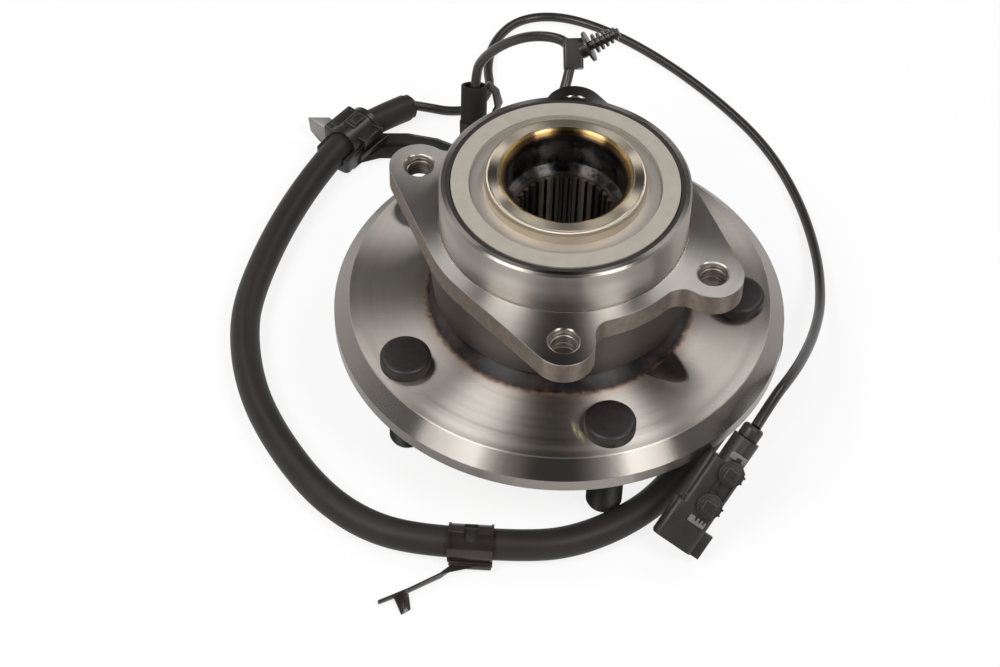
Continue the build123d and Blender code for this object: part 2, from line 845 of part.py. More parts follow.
# The bracket is one pressed sheet: a tray under the block, a channel-shaped arm that
# runs off to its bolt hole, and a folded wing on the other side.
bracket_sheet = 1.4
arm_way = (0.999, 0.04, 0)
arm_start = (-84.0, 122.6, floor_z)
arm_length = 48.0
arm_width = 13.0
arm_height = 8.0
bracket_hole_r = 4.5
wing_start = (-97.0, 119.5, -80.5)
wing_way = (-0.66, 0.75, 0.05)
wing_length = 19.0
wing_span = 7.5
wing_drop = 5.0

with BuildPart() as clip1_bracket:
    with BuildSketch(lying(clip1_at, clip1_way, floor_z)):
        RectangleRounded(clip1_length - 3, clip1_width - 1, 1.5)
    extrude(amount=bracket_sheet)
    with BuildSketch(Plane(origin=arm_start, x_dir=(0, 1, 0), z_dir=arm_way)):
        with BuildLine():
            Polyline(
                (-arm_width / 2, 0),
                (arm_width / 2, 0),
                (arm_width / 2, arm_height),
                (arm_width / 2 - bracket_sheet, arm_height),
                (arm_width / 2 - bracket_sheet, bracket_sheet),
                (bracket_sheet - arm_width / 2, bracket_sheet),
                (bracket_sheet - arm_width / 2, arm_height / 2),
                (-arm_width / 2, arm_height / 2),
                close=True,
            )
        make_face()
    extrude(amount=arm_length)
    with BuildSketch(lying(along(arm_start, arm_way, arm_length - 9), arm_way, floor_z)):
        Circle(bracket_hole_r)
    extrude(amount=bracket_sheet, mode=Mode.SUBTRACT)
    with BuildSketch(Plane(origin=wing_start, x_dir=(0.75, 0.66, 0), z_dir=wing_way)):
        with BuildLine():
            Polyline(
                (-wing_span, -wing_drop),
                (0, 0),
                (wing_span, -wing_drop * 0.6),
                (wing_span, -wing_drop * 0.6 - bracket_sheet),
                (0, -bracket_sheet),
                (-wing_span, -wing_drop - bracket_sheet),
                close=True,
            )
        make_face()
    extrude(amount=wing_length)
    with BuildSketch(lying(clip1_at, clip1_way, floor_z + bracket_sheet)):
        RectangleRounded(clip1_length + 0.4, clip1_width + 0.4, 2)
    extrude(amount=clip1_high_z - floor_z, mode=Mode.SUBTRACT)
write(clip1_bracket.part, "clip1_bracket")

# ---- clip 2: steel band with its arm and tab --------------------------------------------------

clip2_at = (-31.9, -93.3, -79.8)
clip2_way = (0.999, -0.04, 0)
band_width = 17.0
band_sheet = 1.2
band_r = 6.0
arm2_start = (-33.5, -98.2, -82.0)
arm2_way = (-0.86, -0.51, 0)
arm2_lean = (0.0, 0.654, -0.756)
arm2_length = 38.0
arm2_width = 10.5
tab_length = 8.0
tab_rise = 0.9

with BuildPart() as clip2_band:
    with BuildSketch(Plane(origin=along(clip2_at, clip2_way, -band_width / 2), z_dir=clip2_way)):
        Circle(band_r + band_sheet)
        Circle(band_r, mode=Mode.SUBTRACT)
    extrude(amount=band_width)
write(clip2_band.part, "clip2_band")

arm2_normal = Vector(*arm2_way).cross(Vector(*arm2_lean)).normalized()
arm2_corner = along(arm2_start, arm2_way, arm2_length)
with BuildPart() as clip2_arm:
    with BuildSketch(Plane(origin=arm2_start, x_dir=arm2_way, z_dir=arm2_normal)):
        with Locations((arm2_length / 2, 0)):
            RectangleRounded(arm2_length, arm2_width, 1.5)
    extrude(amount=band_sheet)
    with BuildSketch(lying(arm2_corner, arm2_way, floor_z + tab_rise)):
        with Locations((-tab_length / 2, 6.5)):
            RectangleRounded(tab_length, 12.0, 1)
    extrude(amount=band_sheet)
    with BuildSketch(Plane(origin=along(clip2_at, clip2_way, -band_width), z_dir=clip2_way)):
        Circle(band_r + band_sheet)
    extrude(amount=2 * band_width, mode=Mode.SUBTRACT)
write(clip2_arm.part, "clip2_arm")

# ---- connector --------------------------------------------------------------------------------

# The connector stands on its nose and leans back beside the flange's rim. Places along
# it are measured back from the nose.
connector_nose = (44.9, -92.3, -79.1)
connector_way = (-0.538, -0.576, -0.615)
connector_face = (-0.048, -0.708, 0.705)
connector_back = tuple(-c for c in connector_way)
connector_thickness = 12.0
shell_length = 16.0
shell_width = 16.4
shell_shift = -1.9
shell_wall = 1.6
shell_depth = 13.0
side_tab_width = 3.8
side_tab_length = 10.0
side_tab_thickness = 4.0
block_length = 20.8
block_width = 14.5
block_shift = -0.95
rear_r = 5.4
rear_length = 11.2
seal_cap_r = 4.2
seal_cap_length = 5.4
block_at = shell_length
rear_at = block_at + block_length
cap_at = rear_at + rear_length
rear_shift = -0.5
groove_shift = 2.6
groove_gap = 4.2


def across(at, up=0.0):
    """A plane across the connector, x to its side and y out of its mounting face."""
    origin = along(along(connector_nose, connector_back, at), connector_face, up)
    side = Vector(*connector_face).cross(Vector(*connector_way))
    return Plane(origin=origin, x_dir=side, z_dir=connector_back)


def on_face(at, up=0.0):
    """A plane on the connector's mounting face, x along the connector to its back."""
    origin = along(connector_nose, connector_back, at)
    origin = along(origin, connector_face, connector_thickness / 2 + up)
    return Plane(origin=origin, x_dir=connector_back, z_dir=connector_face)


with BuildPart() as connector_housing:
    with BuildSketch(across(0)):
        with Locations((shell_shift, 0)):
            RectangleRounded(shell_width, connector_thickness, 2.4)
    extrude(amount=shell_length)
    with BuildSketch(across(0)):
        with Locations((shell_shift + shell_width / 2 + side_tab_width / 2 - 1, 0)):
            RectangleRounded(side_tab_width + 2, side_tab_thickness, 0.8)
    extrude(amount=side_tab_length)
    with BuildSketch(across(block_at)):
        with Locations((block_shift, 0)):
            RectangleRounded(block_width, connector_thickness, 2.4)
    extrude(amount=block_length)
    with BuildSketch(across(rear_at)):
        with Locations((rear_shift, 0)):
            Circle(rear_r)
    extrude(amount=rear_length)
    with BuildSketch(across(0)):
        with Locations((shell_shift, 0)):
            RectangleRounded(shell_width - 2 * shell_wall, connector_thickness - 2 * shell_wall, 1)
    extrude(amount=shell_depth, mode=Mode.SUBTRACT)
    with BuildSketch(across(block_at + 2, connector_thickness / 2)):
        with Locations((groove_shift - groove_gap / 2, 0), (groove_shift + groove_gap / 2, 0)):
            Rectangle(0.7, 1.2)
    extrude(amount=block_length - 4, mode=Mode.SUBTRACT)
write(connector_housing.part, "connector_housing")

with BuildPart() as connector_seal_cap:
    with BuildSketch(across(cap_at)):
        with Locations((rear_shift, 0)):
            Circle(seal_cap_r)
    extrude(amount=seal_cap_length)
    cap_end = connector_seal_cap.faces().sort_by(Axis((0, 0, 0), connector_back))[-1]
    chamfer(cap_end.edges(), 0.8)
write(connector_seal_cap.part, "connector_seal_cap")

with BuildPart() as connector_terminals:
    with BuildSketch(across(shell_depth)):
        with Locations((shell_shift - 2.5, 0), (shell_shift + 2.5, 0)):
            Rectangle(2.4, 0.7)
    extrude(amount=-5.0)
write(connector_terminals.part, "connector_terminals")

lock_length = 2.8
lock_width = 7.0
lock_height = 1.2
lock_shift = -1.6
rear_lock_at = rear_at + 3.6
front_lock_at = 12.2
with BuildPart() as connector_locks:
    with BuildSketch(on_face(front_lock_at)):
        with Locations((0, lock_shift + 0.6)):
            RectangleRounded(lock_length, lock_width, 0.5)
    extrude(amount=lock_height)
    with BuildSketch(on_face(rear_lock_at, rear_r - connector_thickness / 2)):
        with Locations((0, lock_shift + 1.0)):
            RectangleRounded(lock_length, lock_width, 0.5)
    extrude(amount=lock_height)
write(connector_locks.part, "connector_locks")

mount_r = 4.8
mount_shift = -1.6
with BuildPart() as connector_mounts:
    for at in (19.8, 34.2):
        for low, high, r in ((0, 1.0, 3.2), (1.0, 2.0, mount_r), (2.0, 4.6, 2.4), (2.8, 3.6, 3.8)):
            with BuildSketch(on_face(at, low)):
                with Locations((0, mount_shift)):
                    Circle(r)
            extrude(amount=high - low)
write(connector_mounts.part, "connector_mounts")
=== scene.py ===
"""Wheel hub bearing with its speed sensor lead: finishes, fasteners and lead.

Metres. The bearing's axis is Z, +Z points inboard, and the floor is under the stud ends.
"""

import math

import bmesh
import bpy
from mathutils import Matrix, Vector


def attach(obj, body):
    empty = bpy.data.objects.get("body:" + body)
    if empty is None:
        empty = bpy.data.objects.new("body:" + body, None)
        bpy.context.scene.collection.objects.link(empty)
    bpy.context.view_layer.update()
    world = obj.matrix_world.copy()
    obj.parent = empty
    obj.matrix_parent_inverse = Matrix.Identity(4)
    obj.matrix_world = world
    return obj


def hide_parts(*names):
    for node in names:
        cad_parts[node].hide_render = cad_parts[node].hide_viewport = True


bl_info = {
    "name": "Wheel Hub Bearing",
    "version": (1, 0, 0),
    "blender": (4, 5, 0),
    "location": "View3D > Sidebar > Hub",
    "description": "Finishes, studs, threads, lead and clips of a wheel hub bearing",
    "category": "Object",
}

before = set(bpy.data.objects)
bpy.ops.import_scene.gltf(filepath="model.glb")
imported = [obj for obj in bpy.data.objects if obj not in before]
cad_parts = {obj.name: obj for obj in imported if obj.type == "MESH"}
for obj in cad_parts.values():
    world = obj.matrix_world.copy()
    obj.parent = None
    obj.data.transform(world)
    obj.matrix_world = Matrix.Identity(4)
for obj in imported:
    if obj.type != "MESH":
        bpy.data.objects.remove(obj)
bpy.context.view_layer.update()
MM = 0.001
FLOOR_Z = -87.0 * MM
STUD_START = 213.4  # degrees, the first stud
EAR_ANGLES = (155.0, 270.0, 334.0, 86.0)

# Routes of the lead, in millimetres: (x, y, z).
SENSOR_CABLE_ROUTE = (
    (-1.78, 67.98, -15.2), (-2.0, 75.0, -15.0), (0.9, 82.2, -10.6),
    (3.8, 92.0, -0.6), (0.8, 97.6, 1.2), (-6.3, 101.8, 0.0),
    (-15.5, 105.9, -4.2), (-25.0, 110.8, -13.2), (-32.6, 116.0, -25.4),
    (-36.2, 120.6, -37.6), (-36.5, 113.1, -58.8),
)
HOSE_ROUTE = (
    (-67.7, 143.1, -81.0), (-86.5, 128.4, -78.6), (-97.5, 111.1, -78.6),
    (-110.5, 86.4, -81.0), (-120.4, 56.8, -81.0), (-127.0, 25.5, -81.0),
    (-126.6, 5.2, -81.0), (-122.0, -17.1, -81.0), (-113.8, -37.2, -81.0),
    (-99.9, -59.6, -81.0), (-86.6, -75.0, -81.0), (-72.3, -85.4, -81.0),
    (-56.7, -91.4, -80.4), (-31.9, -94.0, -79.8), (-5.9, -94.0, -80.2),
    (7.4, -90.5, -81.0), (20.8, -84.2, -81.0), (33.6, -75.2, -81.0),
    (44.0, -64.0, -80.8), (56.6, -46.5, -76.6), (70.5, -27.5, -71.0),
    (84.9, -5.0, -68.2), (84.0, 17.5, -69.5), (75.5, 40.5, -77.5),
    (61.0, 60.0, -81.0), (39.0, 76.4, -81.0), (11.0, 88.6, -81.0),
    (-11.0, 94.8, -79.8), (-25.0, 98.9, -77.8), (-33.4, 103.6, -73.0),
    (-36.5, 109.0, -67.2), (-36.5, 112.96, -59.07),
)
LEAD_CABLE_ROUTE = (
    (-64.6, 145.5, -81.4), (-57.0, 146.4, -83.6), (-48.0, 145.6, -84.9),
    (-37.0, 147.4, -84.9), (-29.6, 160.5, -84.9), (-32.0, 176.0, -84.9),
    (-28.8, 194.5, -84.9), (-17.8, 209.3, -84.9), (1.0, 212.4, -84.9),
    (23.0, 203.4, -84.9), (47.5, 184.5, -84.9), (71.0, 159.5, -84.9),
    (92.0, 130.5, -84.9), (104.6, 98.0, -84.9), (110.2, 62.0, -82.6),
    (108.6, 29.0, -75.6), (102.6, 2.6, -65.0), (95.0, -20.6, -53.4),
    (88.2, -37.0, -45.6), (80.8, -50.0, -42.0), (73.4, -61.6, -46.1),
)


def metres(point):
    return tuple(c * MM for c in point)


def length_prop(name, text, millimetres):
    return bpy.props.FloatProperty(
        name=name, description=text, default=millimetres * MM, unit="LENGTH", precision=5
    )


def colour_prop(name, text, colour):
    return bpy.props.FloatVectorProperty(
        name=name, description=text, default=colour, subtype="COLOR", size=3, min=0, max=1
    )


class HubSizes(bpy.types.PropertyGroup):
    stud_circle: length_prop("Stud circle", "Radius of the circle of studs", 69.85)
    stud_radius: length_prop("Stud radius", "Outside radius of the stud's thread", 7.0)
    stud_shank: length_prop("Shank radius", "Radius of the pressed shank", 7.35)
    stud_head: length_prop("Head radius", "Radius of the stud's round head", 9.7)
    stud_head_height: length_prop("Head height", "Height of the stud's head", 5.3)
    stud_pitch: length_prop("Stud pitch", "Pitch of the stud's thread", 1.5)
    ear_circle: length_prop("Ear circle", "Distance of the ears' holes from the axis", 61.2)
    ear_thread: length_prop("Ear thread", "Tapping radius of the ears' holes", 5.1)
    ear_pitch: length_prop("Ear pitch", "Pitch of the ears' threads", 1.75)
    cable: length_prop("Cable", "Diameter of the cables", 4.2)
    hose: length_prop("Hose", "Diameter of the protective hose", 12.0)


class HubColours(bpy.types.PropertyGroup):
    steel: colour_prop("Turned steel", "Bright turned faces", (0.565, 0.52, 0.472))
    satin: colour_prop("Satin steel", "Ground and milled faces", (0.45, 0.425, 0.395))
    forging: colour_prop("Forging", "Forged skin of the ears and barrel", (0.105, 0.084, 0.067))
    heat: colour_prop("Heat tint", "Brown of the hardened ring", (0.105, 0.05, 0.022))
    scale: colour_prop("Scale", "Blue-black of the hardened bore", (0.022, 0.02, 0.026))
    # Painted shade for the flanks of the milled notch in the flange.
    notch: colour_prop("Notch", "Milled notch in the flange", (0.15, 0.125, 0.105))
    mouth: colour_prop("Mouth tint", "Golden tint round the bore's mouth", (0.50, 0.31, 0.09))
    collar: colour_prop("Collar tint", "Straw tint of the collar", (0.37, 0.32, 0.25))
    spline: colour_prop("Spline", "Oiled splines", (0.066, 0.056, 0.042))
    slinger: colour_prop("Slinger", "Magnetic coating", (0.325, 0.295, 0.252))
    black: colour_prop("Black plastic", "Moulded clips and plug", (0.017, 0.0145, 0.014))
    phosphate: colour_prop("Phosphate", "Black studs", (0.030, 0.026, 0.024))
    rubber: colour_prop("Rubber", "Hose and seals", (0.021, 0.0175, 0.0165))
    jacket: colour_prop("Jacket", "Cable jacket", (0.018, 0.015, 0.014))
    grey: colour_prop("Grey plastic", "Lock clips of the plug", (0.14, 0.135, 0.13))
    paint: colour_prop("Paint", "Dab of marking paint", (0.62, 0.66, 0.16))


# ---- node helpers ----


def fill(tree, node, values):
    """Link each value that is a socket to the node's input, and set the others."""
    for key, value in values.items():
        if isinstance(value, bpy.types.NodeSocket):
            tree.links.new(value, node.inputs[key])
        else:
            node.inputs[key].default_value = value


def connect(tree, node, **values):
    """The same, with the spaces in the inputs' names written as underscores."""
    fill(tree, node, {key.replace("_", " "): value for key, value in values.items()})


def add(tree, kind, inputs=None, **settings):
    node = tree.nodes.new(kind)
    for key, value in settings.items():
        setattr(node, key, value)
    fill(tree, node, inputs or {})
    return node


def calc(tree, operation, first, second=0.0):
    return add(tree, "ShaderNodeMath", {0: first, 1: second}, operation=operation).outputs[0]


def blend_colour(tree, amount, first, second):
    values = {0: amount, 6: first, 7: second}
    return add(tree, "ShaderNodeMix", values, data_type="RGBA").outputs[2]


def blend_value(tree, amount, first, second):
    return add(tree, "ShaderNodeMix", {0: amount, 2: first, 3: second}).outputs[0]


def squares(tree, first, second):
    """The sum of the two squares."""
    return calc(tree, "ADD", calc(tree, "MULTIPLY", first, first),
                calc(tree, "MULTIPLY", second, second))


def here(tree):
    """The point on the object, which is in the bearing's own axes."""
    return add(tree, "ShaderNodeTexCoord").outputs["Object"]


def noise(tree, where, scale, detail, roughness=0.5):
    values = {"Vector": where, "Scale": scale, "Detail": detail, "Roughness": roughness}
    return add(tree, "ShaderNodeTexNoise", values).outputs["Fac"]


def step(tree, value, low, high):
    """0 below low, 1 above high, smooth between."""
    values = {"Value": value, "From Min": low, "From Max": high}
    node = add(tree, "ShaderNodeMapRange", values, interpolation_type="SMOOTHSTEP")
    return node.outputs[0]


def shader_group(name, inputs, outputs):
    group = bpy.data.node_groups.new(name, "ShaderNodeTree")
    for label, default in inputs:
        socket = group.interface.new_socket(label, in_out="INPUT", socket_type="NodeSocketFloat")
        socket.default_value = default
    for label in outputs:
        group.interface.new_socket(label, in_out="OUTPUT", socket_type="NodeSocketFloat")
    start = group.nodes.new("NodeGroupInput")
    end = group.nodes.new("NodeGroupOutput")
    return group, start.outputs, end.inputs


def place(tree, group, **inputs):
    node = tree.nodes.new("ShaderNodeGroup")
    node.node_tree = bpy.data.node_groups[group]
    connect(tree, node, **inputs)
    return node.outputs


def axis_radius(tree):
    """The point on the object, its distance from the bearing's axis, and its height."""
    where = here(tree)
    parts = add(tree, "ShaderNodeSeparateXYZ", {0: where}).outputs
    return where, calc(tree, "SQRT", squares(tree, parts[0], parts[1])), parts[2]


def make_turned_rings():
    inputs = (("Pitch", 0.4), ("Drift", 0.5))
    tree, given, result = shader_group("Turned rings", inputs, ("Height", "Shade"))
    where, radius, height = axis_radius(tree)
    along = calc(tree, "ADD", radius, calc(tree, "MULTIPLY", height, given["Drift"]))
    across = calc(tree, "DIVIDE", along, calc(tree, "MULTIPLY", given["Pitch"], MM))
    for label, scale, detail in (("Height", 1.0, 3.0), ("Shade", 0.09, 2.0)):
        rings = add(tree, "ShaderNodeTexNoise", {"W": across, "Scale": scale, "Detail": detail},
                    noise_dimensions="1D")
        tree.links.new(rings.outputs["Fac"], result[label])


def make_blotches():
    inputs = (("Scale", 60.0), ("Low", 0.4), ("High", 0.65))
    tree, given, result = shader_group("Blotches", inputs, ("Mask",))
    spots = noise(tree, here(tree), given["Scale"], 6.0, 0.62)
    tree.links.new(step(tree, spots, given["Low"], given["High"]), result["Mask"])


def make_grain():
    inputs = (("Size", 0.3), ("Mottle", 4.0))
    tree, given, result = shader_group("Grain", inputs, ("Height", "Shade"))
    where = here(tree)
    for label, size, detail in (("Height", "Size", 4.0), ("Shade", "Mottle", 3.0)):
        scale = calc(tree, "DIVIDE", 1.0, calc(tree, "MULTIPLY", given[size], MM))
        tree.links.new(noise(tree, where, scale, detail), result[label])


def make_zone():
    inputs = (("Inner", 0.0), ("Outer", 100.0), ("Low", -100.0), ("High", 100.0), ("Soft", 0.3),
              ("Wander", 0.0))
    tree, given, result = shader_group("Zone", inputs, ("Mask",))
    where, radius, height = axis_radius(tree)
    about = calc(tree, "SUBTRACT", noise(tree, where, 420.0, 4.0), 0.5)
    sway = calc(tree, "MULTIPLY", about, given["Wander"])
    radius = calc(tree, "ADD", radius, calc(tree, "MULTIPLY", sway, MM))
    mask = 1.0
    for value, low, high in ((radius, "Inner", "Outer"), (height, "Low", "High")):
        size = calc(tree, "DIVIDE", value, MM)
        past = [step(tree, size, calc(tree, "SUBTRACT", given[limit], given["Soft"]),
                     calc(tree, "ADD", given[limit], given["Soft"])) for limit in (low, high)]
        inside = calc(tree, "SUBTRACT", *past)
        mask = calc(tree, "MULTIPLY", mask, calc(tree, "MAXIMUM", inside, 0.0))
    tree.links.new(mask, result["Mask"])


def make_scratches():
    inputs = (("Density", 0.5),)
    tree, given, result = shader_group("Scratches", inputs, ("Mask",))
    where, mask = here(tree), 0.0
    for turn in (0.4, 1.7, 2.6):
        lie = add(tree, "ShaderNodeMapping",
                  {"Vector": where, "Rotation": (0, 0, turn), "Scale": (90, 1400, 90)})
        lines = noise(tree, lie.outputs[0], 1.0, 1.0)
        mask = calc(tree, "MAXIMUM", mask, step(tree, lines, 0.70, 0.76))
    tree.links.new(calc(tree, "MULTIPLY", mask, given["Density"]), result["Mask"])


def new_material(name):
    """A material with its surface shader."""
    material = bpy.data.materials.new(name)
    material.use_nodes = True
    tree = material.node_tree
    return material, tree, tree.nodes["Principled BSDF"]


def bump(tree, height, strength, distance):
    values = {"Height": height, "Strength": strength, "Distance": distance * MM}
    return add(tree, "ShaderNodeBump", values).outputs["Normal"]


def shaded(colour, shade):
    return tuple(c * shade for c in colour)


def rgba(colour, shade=1.0):
    return (*shaded(colour, shade), 1.0)


def colours():
    return bpy.context.scene.hub_colours


# ---- finishes ----


def zone(tree, inner, outer, low, high, soft, wander=0.0):
    """Mask of a band about the axis: its radii, heights and soft edge, in millimetres."""
    return place(tree, "Zone", Inner=inner, Outer=outer, Low=low, High=high, Soft=soft,
                 Wander=wander)["Mask"]


def turned_finish(name, colour, roughness, anisotropy, pitch=0.35, depth=0.004, marks=0.35):
    """Lathe-turned steel: rings about the axis, and a fan of light across them."""
    material, tree, shader = new_material(name)
    rings = place(tree, "Turned rings", Pitch=pitch, Drift=0.6)
    blots = place(tree, "Blotches", Scale=38.0, Low=0.35, High=0.75)["Mask"]
    scratched = place(tree, "Scratches", Density=marks)["Mask"]
    tone = blend_colour(tree, rings["Shade"], rgba(colour, 0.88), rgba(colour, 1.08))
    tone = blend_colour(tree, calc(tree, "MULTIPLY", blots, 0.16), tone, rgba(colour, 0.7))
    tone = blend_colour(tree, scratched, tone, rgba(colour, 1.25))
    rough = blend_value(tree, rings["Shade"], roughness * 0.75, roughness * 1.3)
    rough = blend_value(tree, calc(tree, "MULTIPLY", blots, 0.3), rough, roughness + 0.08)
    normal = bump(tree, rings["Height"], 0.5, depth)
    tangent = add(tree, "ShaderNodeTangent", direction_type="RADIAL", axis="Z").outputs[0]
    connect(tree, shader, Base_Color=tone, Roughness=rough, Metallic=1.0, Normal=normal,
            Anisotropic=anisotropy, Anisotropic_Rotation=0.25, Tangent=tangent)
    return material, tree, shader, tone, rough


def hub_finish():
    c = colours()
    material, tree, shader, tone, rough = turned_finish("Hub steel", c.steel, 0.42, 1.0)
    metal = 1.0
    blots = place(tree, "Blotches", Scale=150.0, Low=0.38, High=0.62)["Mask"]
    zones = (
        # inner, outer, low, high, soft, wander, colour, roughness, metal, amount
        (40.0, 55.4, -43, -34, 3.0, 2.0, rgba(c.heat, 2.2), 0.42, 0.9, 0.4),
        (40.0, 52.7, -43, -34, 0.9, 3.2, rgba(c.heat, 1.5), 0.45, 0.5, 0.9),
        (40.0, 51.6, -43, -34, 0.8, 3.0, rgba(c.scale, 0.3), 0.44, 0.1, 1.0),
        # Painted shade: faces below the flange face at the notch's radii, the milled notch's
        # flanks, are darkened.
        (51.6, 67.0, -46, -41.52, 0.06, 0.0, rgba(c.notch), 0.34, 1.0, 0.85),
        (23.6, 31.2, 12, 24, 0.5, 0.0, rgba(c.collar, 1.3), 0.46, 1.0, 0.92),
        (22.0, 25.0, 18, 24, 0.5, 0.5, rgba(c.mouth), 0.26, 1.0, 0.9),
        (22.0, 23.9, 18, 24, 0.4, 0.5, rgba(c.heat), 0.24, 1.0, 0.9),
        (-5.0, 23.7, -70, 21.2, 0.5, 0.0, rgba(c.scale, 0.3), 0.34, 0.9, 1.0),
        (-5.0, 19.6, -70, 5.2, 0.4, 0.0, rgba(c.spline, 0.8), 0.42, 0.8, 0.92),
    )
    for inner, outer, low, high, soft, wander, colour, roughness, metallic, amount in zones:
        mask = zone(tree, inner, outer, low, high, soft, wander)
        cover = blend_value(tree, blots, amount, amount * 0.86)
        ragged = calc(tree, "MULTIPLY", mask, cover)
        tone = blend_colour(tree, ragged, tone, colour)
        rough = blend_value(tree, ragged, rough, roughness)
        metal = blend_value(tree, ragged, metal, metallic)
    # Painted shade: the flange's bevelled rim is given a darker steel, standing in for the dark
    # surroundings it reflects; a lower roughness keeps its highlights bright.
    bevel = zone(tree, 79, 90, -60, -41.7, 0.2)
    tone = blend_colour(tree, bevel, tone, rgba(c.steel, 0.54))
    rough = blend_value(tree, bevel, rough, 0.24)
    # A few faint strokes of marking paint beside one stud.
    lie = add(tree, "ShaderNodeMapping",
              {"Vector": here(tree), "Location": (-0.0066, 0.0696, 0.0414)})
    turn = add(tree, "ShaderNodeMapping", {"Vector": lie.outputs[0], "Rotation": (0, 0, -0.40)})
    parts = add(tree, "ShaderNodeSeparateXYZ", {0: turn.outputs[0]}).outputs
    wide = calc(tree, "DIVIDE", parts[0], 1.5 * MM)
    tall = calc(tree, "DIVIDE", parts[1], 6.6 * MM)
    bristle = add(tree, "ShaderNodeMapping", {"Vector": turn.outputs[0], "Scale": (2600, 260, 1)})
    hair = noise(tree, bristle.outputs[0], 1.0, 3.0)
    paint = calc(tree, "SUBTRACT", 1.0, step(tree, squares(tree, wide, tall), 0.35, 1.3))
    paint = calc(tree, "MULTIPLY", paint, step(tree, hair, 0.44, 0.62))
    paint = calc(tree, "MULTIPLY", paint, step(tree, parts[2], -0.5 * MM, -0.2 * MM))
    paint = calc(tree, "MULTIPLY", paint, 0.6)
    tone = blend_colour(tree, paint, tone, rgba(c.paint))
    metal = blend_value(tree, paint, metal, 0.2)
    # The rolled collar is burnished the other way, so its lines of light run round it.
    radius, height = axis_radius(tree)[1:]
    collar = calc(tree, "SUBTRACT", step(tree, radius, 25.15 * MM, 25.45 * MM),
                  step(tree, radius, 31.45 * MM, 31.75 * MM))
    collar = calc(tree, "MULTIPLY", collar, step(tree, height, 11.85 * MM, 12.15 * MM))
    along = shader.inputs["Tangent"].links[0].from_socket
    turned = add(tree, "ShaderNodeVectorMath", {0: along, 1: (0, 0, 1)},
                 operation="CROSS_PRODUCT").outputs[0]
    lay = add(tree, "ShaderNodeMix", {0: collar, 4: along, 5: turned}, data_type="VECTOR")
    connect(tree, shader, Base_Color=tone, Roughness=rough, Metallic=metal, Tangent=lay.outputs[1])
    return material


def carrier_finish():
    """Forged skin, with milled ear faces and a turned spigot."""
    c = colours()
    material, tree, shader, tone, rough = turned_finish(
        "Carrier steel", shaded(c.steel, 0.68), 0.33, 1.0, marks=0.1)
    grain = place(tree, "Grain", Size=0.6, Mottle=2.6)
    scale = blend_colour(tree, grain["Shade"], rgba(c.forging, 0.8), rgba(c.forging, 2.1))
    # The forged barrel below the ears is darker: partly its own colour, partly painted shade under
    # the ears. The foot zone darkens it further towards the flange, which is painted shade.
    barrel = zone(tree, 30, 52.4, -60, -11, 0.3)
    foot = zone(tree, 30, 52.4, -60, -28, 5.0)
    scale = blend_colour(tree, barrel, scale, rgba(c.forging, 0.62))
    scale = blend_colour(tree, foot, scale, rgba(c.forging, 0.3))
    skin = zone(tree, 46.9, 95, -60, -0.45, 0.12)
    milled = zone(tree, 47.4, 95, -0.45, 3, 0.12)
    rings = place(tree, "Turned rings", Pitch=0.5, Drift=0.0)
    satin = blend_colour(tree, rings["Shade"], rgba(c.satin, 0.85), rgba(c.satin, 1.08))
    tone = blend_colour(tree, milled, tone, satin)
    tone = blend_colour(tree, skin, tone, scale)
    # Painted highlight: the relief groove at the spigot's foot gets a lighter, smoother steel, so
    # that it shows as a bright line where it would lie in shade.
    relief_highlight = zone(tree, 47.2, 48.0, -1.0, 0.1, 0.1)
    tone = blend_colour(tree, relief_highlight, tone, rgba(c.steel, 1.1))
    rough = blend_value(tree, milled, rough, 0.36)
    rough = blend_value(tree, skin, rough, 0.62)
    rough = blend_value(tree, relief_highlight, rough, 0.24)
    metal = blend_value(tree, calc(tree, "SUBTRACT", skin, relief_highlight), 1.0, 0.45)
    rise = blend_value(tree, skin, calc(tree, "MULTIPLY", rings["Height"], 0.15),
                       calc(tree, "MULTIPLY", grain["Height"],
                            blend_value(tree, barrel, 1.6, 0.5)))
    connect(tree, shader, Base_Color=tone, Roughness=rough, Metallic=metal,
            Normal=bump(tree, rise, 0.55, 0.12))
    return material


def plain_finish(name, colour, roughness, size=0.3, depth=0.02, metallic=0.0, mottle=5.0,
                 spread=0.25, specular=0.5):
    """Moulded, coated or rubbery surface: fine grain, and patches of shade."""
    material, tree, shader = new_material(name)
    grain = place(tree, "Grain", Size=size, Mottle=mottle)
    tone = blend_colour(tree, grain["Shade"], rgba(colour, 1 - spread), rgba(colour, 1 + spread))
    rough = blend_value(tree, grain["Shade"], roughness * 0.85, min(1.0, roughness * 1.15))
    connect(tree, shader, Base_Color=tone, Roughness=rough, Metallic=metallic,
            Specular_IOR_Level=specular, Normal=bump(tree, grain["Height"], 0.5, depth))
    return material


FINISHES = {}


